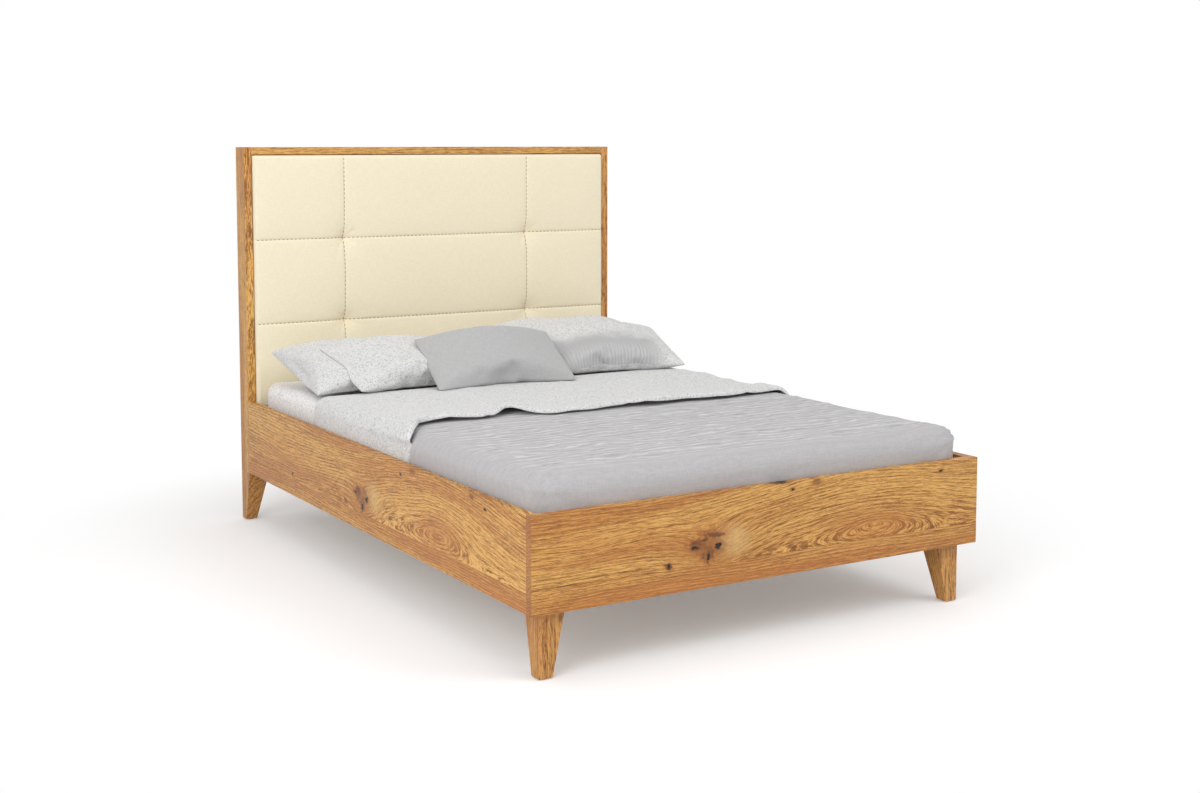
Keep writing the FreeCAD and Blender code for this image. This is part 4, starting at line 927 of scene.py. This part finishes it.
def wrap_cover(flat, half, foot, top):
    """Lay a cover over the bed: it hangs inside the rails, and at the foot if that is given."""
    return wrap_over_edges(flat, half, foot, None, top, COVER_RADIUS, COVER_PLAN_RADIUS,
                           COVER_HEM)


def side_reach(top):
    """How far flat cloth goes past the bed's edge, to end at the hem once it is wrapped."""
    drop = COVER_RADIUS * QUARTER_TURN + (top - COVER_RADIUS - COVER_HEM)
    return drop - COVER_RADIUS - COVER_PLAN_RADIUS


def limit_lift(lift, normal, at_sides, on_top):
    """Keep creases shallow where the cloth hangs between the bed and the rails."""
    upright = ease(0.5, 0.1, normal[:, 2])
    return np.minimum(lift, at_sides * upright + on_top * (1 - upright))


def make_mattress():
    """The mattress in its fitted sheet, gently crowned, with the pull of the corners."""
    half, foot, head = 0.690, -1.025, 0.950
    low, top, radius, plan_radius = 0.3013, 0.4953, 0.036, 0.028
    spare = 0.15
    columns = np.linspace(-half - spare, half + spare, 120)
    rows = np.linspace(foot - spare, head + spare, 150)
    flat = flat_grid(columns, rows)
    middle = (low + top) / 2
    points, normal = wrap_over_edges(flat, half, foot, head, top, radius, plan_radius, middle)
    sag = waves(flat, 3.2, 2, octaves=2) * 0.0016
    pull = ridged(flat, 9.0, 5, (1.0, 0.35, 1)) * 0.0012
    bare = ease(0.44, 0.50, flat[:, 1])  # the part that the duvet leaves free
    lift = ((sag + pull) * normal[:, 2] - 0.0012) * bare - 0.0008
    points = points + normal * lift[:, None]
    under = points.copy()
    under[:, 2] = 2 * middle - under[:, 2]
    return closed_cover("mattress_in_sheet", points, under, len(rows), len(columns), flat, 3.0)


# Where the folded-back hem lies on the duvet, from the left side to the right.
HEM_LINE = (
    (-0.86, -0.265), (-0.80, -0.278), (-0.74, -0.298), (-0.70, -0.308), (-0.672, -0.282),
    (-0.625, -0.202), (-0.576, -0.170), (-0.500, -0.178), (-0.433, -0.190), (-0.365, -0.186),
    (-0.318, -0.156), (-0.286, -0.180), (-0.204, -0.236), (-0.055, -0.238), (0.060, -0.222),
    (0.175, -0.240), (0.290, -0.218), (0.400, -0.240), (0.530, -0.226), (0.660, -0.215),
    (0.76, -0.230), (0.86, -0.240),
)


def hem_place(across):
    """Y of the folded-back hem at a place across the cloth."""
    marks = np.array(HEM_LINE)
    nearby = np.linspace(-0.02, 0.02, 9)
    return np.mean([np.interp(across + step, marks[:, 0], marks[:, 1]) for step in nearby],
                   axis=0)


def make_duvet():
    """The grey face of the duvet, tucked down inside the rails and the foot panel."""
    half, foot, head, top = 0.6945, -1.0295, 0.430, 0.5036
    reach = side_reach(top)
    columns = np.linspace(-half - reach, half + reach, 190)
    rows = np.linspace(foot - reach, head, 190)
    flat = flat_grid(columns, rows)
    x, y = flat[:, 0], flat[:, 1]
    points, normal = wrap_cover(flat, half, foot, top)
    swell = (waves(flat, 2.6, 11, octaves=2) + 0.6) * 0.0030
    crease = ridged(flat, 5.5, 12, (0.35, 1.0, 1)) * 0.0024
    from_corner = np.hypot(np.abs(x) - half, y - foot)
    turn = np.arctan2(y - foot, np.abs(x) - half)
    pleats = ((1 + np.cos(turn * 13)) / 2) ** 2 * fading(from_corner, 0.15) * 0.0064
    side = ease(half - 0.03, half + 0.02, np.abs(x))
    side_pleats = (waves(flat, 14.0, 13, (0.2, 1.0, 1)) + 0.5) * 0.0020 * side
    lift = (swell + crease + pleats + side_pleats) * ease(head + 0.02, head - 0.15, y)
    lift = limit_lift(lift, normal, 0.0035, 0.02)
    points = points + normal * (lift - SKIN_GAP)[:, None]
    return open_sheet("duvet_face", points, len(rows), len(columns), flat, 0.0038)


def make_turnback():
    """The duvet's end folded back over it, light side up, with its loose hem."""
    half, head, top = 0.6995, 0.440, 0.5119
    roll, fine_end = 0.0130, 0.03
    reach = side_reach(top)
    columns = np.linspace(-half - reach, half + reach, 270)
    steps = np.concatenate([np.linspace(0, fine_end, 14)[:-1], np.linspace(fine_end, 1, 110)])
    across = np.tile(columns, len(steps))
    share = np.repeat(steps, len(columns))
    front = hem_place(across)
    far = head - front
    stretched = fine_end + (share - fine_end) / (1 - fine_end) * (far - fine_end)
    from_hem = np.where(share <= fine_end, share, stretched)
    curl = np.minimum(from_hem / roll, QUARTER_TURN)
    inward = roll * (1 - np.cos(curl)) + np.maximum(from_hem - roll * QUARTER_TURN, 0)
    inward *= far / (far - roll * (QUARTER_TURN - 1))
    flat = np.stack([across, front + inward], axis=1)
    points, normal = wrap_cover(flat, half, None, top)
    puff = fading(from_hem, 0.12) * 0.0115
    swell = (waves(flat, 4.4, 21, (1.0, 0.8, 1), 2) + 0.45) * 0.0062
    crease = ridged(flat, 4.2, 22, (0.45, 1.0, 1)) * 0.0050
    slant = ridged(flat, 4.6, 24, (1.0, 0.55, 1)) * 0.0040
    hem_wave = waves(flat, 8.0, 23, (1, 0.2, 1)) * 0.0055 * fading(from_hem, 0.05)
    peak = fading(across + 0.315, 0.045) * fading(from_hem, 0.09) * 0.015
    before_pillows = ease(0.42, 0.28, flat[:, 1])
    lift = (puff + swell + crease + slant) * before_pillows + hem_wave + peak
    lift = limit_lift(lift, normal, 0.0020, 0.03)
    lift -= np.minimum(roll * (1 - np.sin(curl)), np.maximum(lift, 0) + 0.0024)
    lift -= 0.0030 * ease(head - 0.015, head, flat[:, 1])
    points = points + normal * (lift - SKIN_GAP)[:, None]
    return open_sheet("duvet_turned_back", points, len(steps), len(columns),
                      np.stack([across, from_hem], axis=1), 0.0050)


# ---- pillows

BED_LEVEL = 0.5124
MESH_STEP = 0.0105
SLACK_THICKNESS = 0.02
FIRST_SEED = 31
SWELL_FRAMES = 40
SWELL_CAP = 0.08


def pillow_cover(name, width, depth, thickness, seed):
    """A slack closed cover: two layers of cloth, sewn together all round."""
    columns, rows = int(width / MESH_STEP), int(depth / MESH_STEP)
    flat = flat_grid(np.linspace(-1, 1, columns), np.linspace(-1, 1, rows))
    fill = np.prod(np.maximum(1 - flat ** 2, 0), axis=1) ** 0.5
    cloth = flat * (width / 2, depth / 2)
    uneven = waves(cloth, 9.0, seed) * 0.0015 * fill
    upper, lower = (np.column_stack([cloth, side * thickness / 2 * fill + uneven])
                    for side in (1, -1))
    return closed_cover(name, upper, lower, rows, columns, cloth, 2.0, merge=0.0004)


def let_swell(piece, pressure):
    """Let the cover fill under pressure, holding every point within the cap."""
    before = points_of(piece)
    filling = piece.modifiers.new("filling", "CLOTH")
    settings = filling.settings
    settings.quality = 6
    settings.mass = 0.3
    settings.tension_stiffness = settings.compression_stiffness = 15
    settings.shear_stiffness = 6
    settings.bending_stiffness = 0.5
    settings.air_damping = 2
    settings.use_pressure = True
    settings.uniform_pressure_force = pressure
    settings.effector_weights.gravity = 0
    filling.collision_settings.use_collision = False
    filling.point_cache.frame_start = 1
    filling.point_cache.frame_end = SWELL_FRAMES
    for number in range(1, SWELL_FRAMES + 1):
        scene.frame_set(number)
    graph = bpy.context.evaluated_depsgraph_get()
    step = points_of(piece.evaluated_get(graph)) - before
    piece.modifiers.remove(filling)
    scene.frame_set(1)
    length = np.linalg.norm(step, axis=1)
    step *= np.minimum(1.0, SWELL_CAP / np.maximum(length, 1e-9))[:, None]
    move_points(piece, before + step)


def fit_pillow(piece, width, depth, thickness, arch):
    """Bring a filled cover to its width, depth and thickness, and arch its upper edge."""
    points = points_of(piece)
    low, high = points.min(axis=0), points.max(axis=0)
    points -= (low + high) / 2
    middle = points[np.hypot(points[:, 0], points[:, 1]) < 0.03]
    tall = middle[:, 2].max() - middle[:, 2].min()
    points *= np.array([width / (high - low)[0], depth / (high - low)[1], thickness / tall])
    along, up = points[:, 0] / (width / 2), points[:, 1] / (depth / 2)
    bow = (1 - np.abs(along) ** 2.4) * ease(-0.2, 0.9, up) * arch
    points[:, 1] += bow * 0.8
    points[:, 2] += bow * 0.7
    move_points(piece, points)


def surface_tree(pieces):
    """One search tree over the surfaces of several pieces."""
    points, faces = [], []
    for piece in pieces:
        first = len(points)
        points += [vert.co.copy() for vert in piece.data.vertices]
        faces += [tuple(first + index for index in polygon.vertices)
                  for polygon in piece.data.polygons]
    return BVHTree.FromPolygons(points, faces)


def settle(piece, carriers, up):
    """Press a pillow up from the bed and from the pillows that carry it."""
    clearance, least_thickness, rounds = 0.0008, 0.005, 3
    tree = surface_tree(carriers) if carriers else None
    with shell_of(piece) as shell:
        shell.normal_update()
        for round_number in range(rounds):
            moved = []
            for vert in shell.verts:
                floor = BED_LEVEL
                if tree is not None:
                    hit = tree.ray_cast(Vector((vert.co.x, vert.co.y, 2.0)), Vector((0, 0, -1)))
                    if hit[0] is not None:
                        floor = max(floor, hit[0].z + clearance)
                if vert.normal.dot(up) > 0.05:
                    floor += least_thickness
                if vert.co.z < floor:
                    vert.co.z = floor
                    moved.append(vert)
            if round_number < rounds - 1 and moved:
                bmesh.ops.smooth_vert(shell, verts=moved, factor=0.4, use_axis_x=True,
                                      use_axis_y=True, use_axis_z=True)


PILLOWS = {
    # name: (width, depth, thickness, filling, arch, centre, slope, turn, carried by)
    "pillow_1": (0.606, 0.450, 0.114, 1.2, 0.008, (-0.387, 0.650, 0.560), 12, -0.6, ()),
    "pillow_4": (0.606, 0.450, 0.130, 1.3, 0.010, (0.395, 0.668, 0.574), 13, -4, ()),
    "pillow_2": (0.500, 0.328, 0.126, 1.6, 0.008, (-0.322, 0.560, 0.577), 19, 5, ("pillow_1",)),
    "pillow_5": (0.492, 0.322, 0.128, 1.6, 0.010, (0.462, 0.541, 0.578), 19, -8, ("pillow_4",)),
    "pillow_3": (0.516, 0.275, 0.146, 2.0, 0.024, (-0.046, 0.438, 0.584), 33, -2,
                 ("pillow_1", "pillow_4", "pillow_2", "pillow_5")),
}


def make_pillows(dressing):
    made = {}
    for seed, (name, pillow) in enumerate(PILLOWS.items(), start=FIRST_SEED):
        width, depth, thickness, filling, arch, centre, slope, turn, carriers = pillow
        start = SLACK_THICKNESS
        piece = pillow_cover(f"{name}_case", width, depth, start, seed)
        let_swell(piece, filling)
        fit_pillow(piece, width, depth, thickness, arch)
        turned = (Matrix.Translation(Vector(centre))
                  @ Euler((0, 0, math.radians(turn))).to_matrix().to_4x4()
                  @ Euler((math.radians(slope), 0, 0)).to_matrix().to_4x4())
        piece.data.transform(turned)
        settle(piece, [made[other] for other in carriers], turned.to_3x3() @ Vector((0, 0, 1)))
        made[name] = piece
    for name, piece in made.items():
        round_off(piece)
        finish_piece(piece, *dressing[name], name)


# ---- build everything

dress_wood()
zinc = hard_material("zinc_plate", (176, 178, 182), (146, 146, 144), 1.0, 0.32)
dress_hardware(zinc)

cream = cloth_material("cream_cover", (240, 230, 203), (235, 224, 196), threads=700.0,
                       weave_depth=0.00014, sheen=0.1, slub=0.35)
sheet_white = cloth_material("fitted_sheet", (242, 240, 239), (232, 230, 229), fleck=0.60)
grey_rib = cloth_material("grey_duvet", (183, 181, 182), (174, 172, 173), ribbed=True)
flecked = cloth_material("light_duvet_side", (221, 221, 220), (210, 210, 209), fleck=0.66)
grey_plain = cloth_material("grey_pillow", (182, 182, 182), (173, 173, 173))
two_tone = cloth_material("gathered_pillow", (221, 221, 220), (210, 210, 209), fleck=0.66,
                          gathered=True)

panel = finish_piece(make_panel(), cream, "upholstery", "headboard_cushion")
make_stitches(hard_material("tan_thread", (140, 118, 84), (120, 100, 70), 0.0, 0.75))
make_back_screws(zinc)
mattress = finish_piece(make_mattress(), sheet_white, "mattress_cloth", "mattress")
duvet = finish_piece(make_duvet(), grey_rib, "bedding_grey", "duvet")
turnback = finish_piece(make_turnback(), flecked, "bedding_light", "duvet_turnback")
make_pillows({
    "pillow_1": (flecked, "bedding_light"), "pillow_2": (flecked, "bedding_light"),
    "pillow_3": (grey_plain, "bedding_grey"), "pillow_4": (flecked, "bedding_light"),
    "pillow_5": (two_tone, "bedding_two_tone"),
})


# ---- floor, light and camera

WHITE = (1, 1, 1, 1)
FLOOR_HALF = 30
FLOOR_GREY = (0.84, 0.84, 0.845, 1.0)
FLOOR_GLOW = 0.20
FADE_START, FADE_END = 1.2, 2.1
ROOM_LIGHT = 0.52
# name: (place, target, size, watts)
LAMPS = {
    "key": ((2.6, -3.6, 3.8), (0, 0, 0.4), (3.4, 3.0), 92),
    "fill": ((-4.2, -2.8, 2.8), (0, 0, 0.4), (3.0, 3.0), 124),
    "top": ((-1.3, 0.0, 4.3), (-0.2, 0.3, 0.4), (3.0, 3.0), 34),
}
CAMERA_PLACE = (-2.596, -4.468, 1.3212)
CAMERA_DOWN, CAMERA_TURN = 5.09, -31.16


def in_view(tree):
    """1 where a ray shows the room, straight or by way of gloss or glass; 0 where it lights."""
    rays = signals(put(tree, "ShaderNodeLightPath").outputs)
    mirrored = calc("MAXIMUM", rays["Is Glossy Ray"], rays["Is Transmission Ray"])
    return calc("MAXIMUM", rays["Is Camera Ray"], mirrored)


def make_floor():
    """A pale floor that keeps the bed's shadow and fades into the white background."""
    corners = [(x * FLOOR_HALF, y * FLOOR_HALF, 0) for x, y in ((-1, -1), (1, -1), (1, 1), (-1, 1))]
    piece = mesh_piece("floor", corners, [(0, 1, 2, 3)], smooth=False)
    material, tree, shader = new_material("pale_floor")
    plug(shader, {"Base Color": FLOOR_GREY, "Roughness": 0.75, "Specular IOR Level": 0.2})
    place = signals(put(tree, "ShaderNodeTexCoord").outputs)["Object"]
    far = level(vector_calc("LENGTH", place), FADE_START, FADE_END)
    seen = in_view(tree)
    white = result(tree, "ShaderNodeEmission", {"Color": WHITE, "Strength": 1.0})
    glow = result(tree, "ShaderNodeEmission", {"Color": WHITE, "Strength": seen * FLOOR_GLOW})
    near = result(tree, "ShaderNodeAddShader", {0: shader.outputs[0], 1: glow})
    mixed = result(tree, "ShaderNodeMixShader", {0: far * seen, 1: near, 2: white})
    plug(tree.nodes["Material Output"], {"Surface": mixed})
    piece.data.materials.append(material)


def make_world():
    """A plain bright room: white where it is seen, softer where it lights the bed."""
    world = bpy.data.worlds.new("studio")
    scene.world = world
    world.use_nodes = True
    tree = world.node_tree
    tree.nodes.clear()
    light = result(tree, "ShaderNodeBackground", {"Color": WHITE, "Strength": ROOM_LIGHT})
    white = result(tree, "ShaderNodeBackground", {"Color": WHITE, "Strength": 1.0})
    mixed = result(tree, "ShaderNodeMixShader", {0: in_view(tree), 1: light, 2: white})
    put(tree, "ShaderNodeOutputWorld", {"Surface": mixed})


def make_lamp(name, place, target, size, watts):
    lamp = bpy.data.lights.new(name, "AREA")
    lamp.shape = "RECTANGLE"
    lamp.size, lamp.size_y = size
    lamp.energy = watts
    item = add_object(name, lamp)
    item.location = place
    item.rotation_euler = (Vector(target) - Vector(place)).to_track_quat("-Z", "Y").to_euler()


def make_camera():
    """A standing viewer's camera at the foot's left corner, tilted slightly down."""
    camera = bpy.data.cameras.new("camera")
    camera.sensor_width = 36.0
    camera.lens = 49.11
    camera.shift_y = -0.09
    camera.clip_end = 100.0
    item = add_object("camera", camera)
    item.location = CAMERA_PLACE
    item.rotation_euler = (math.radians(90 - CAMERA_DOWN), 0, math.radians(CAMERA_TURN))
    scene.camera = item


make_floor()
make_world()
for name, lamp in LAMPS.items():
    make_lamp(name, *lamp)
make_camera()
scene.view_settings.view_transform = "Standard"
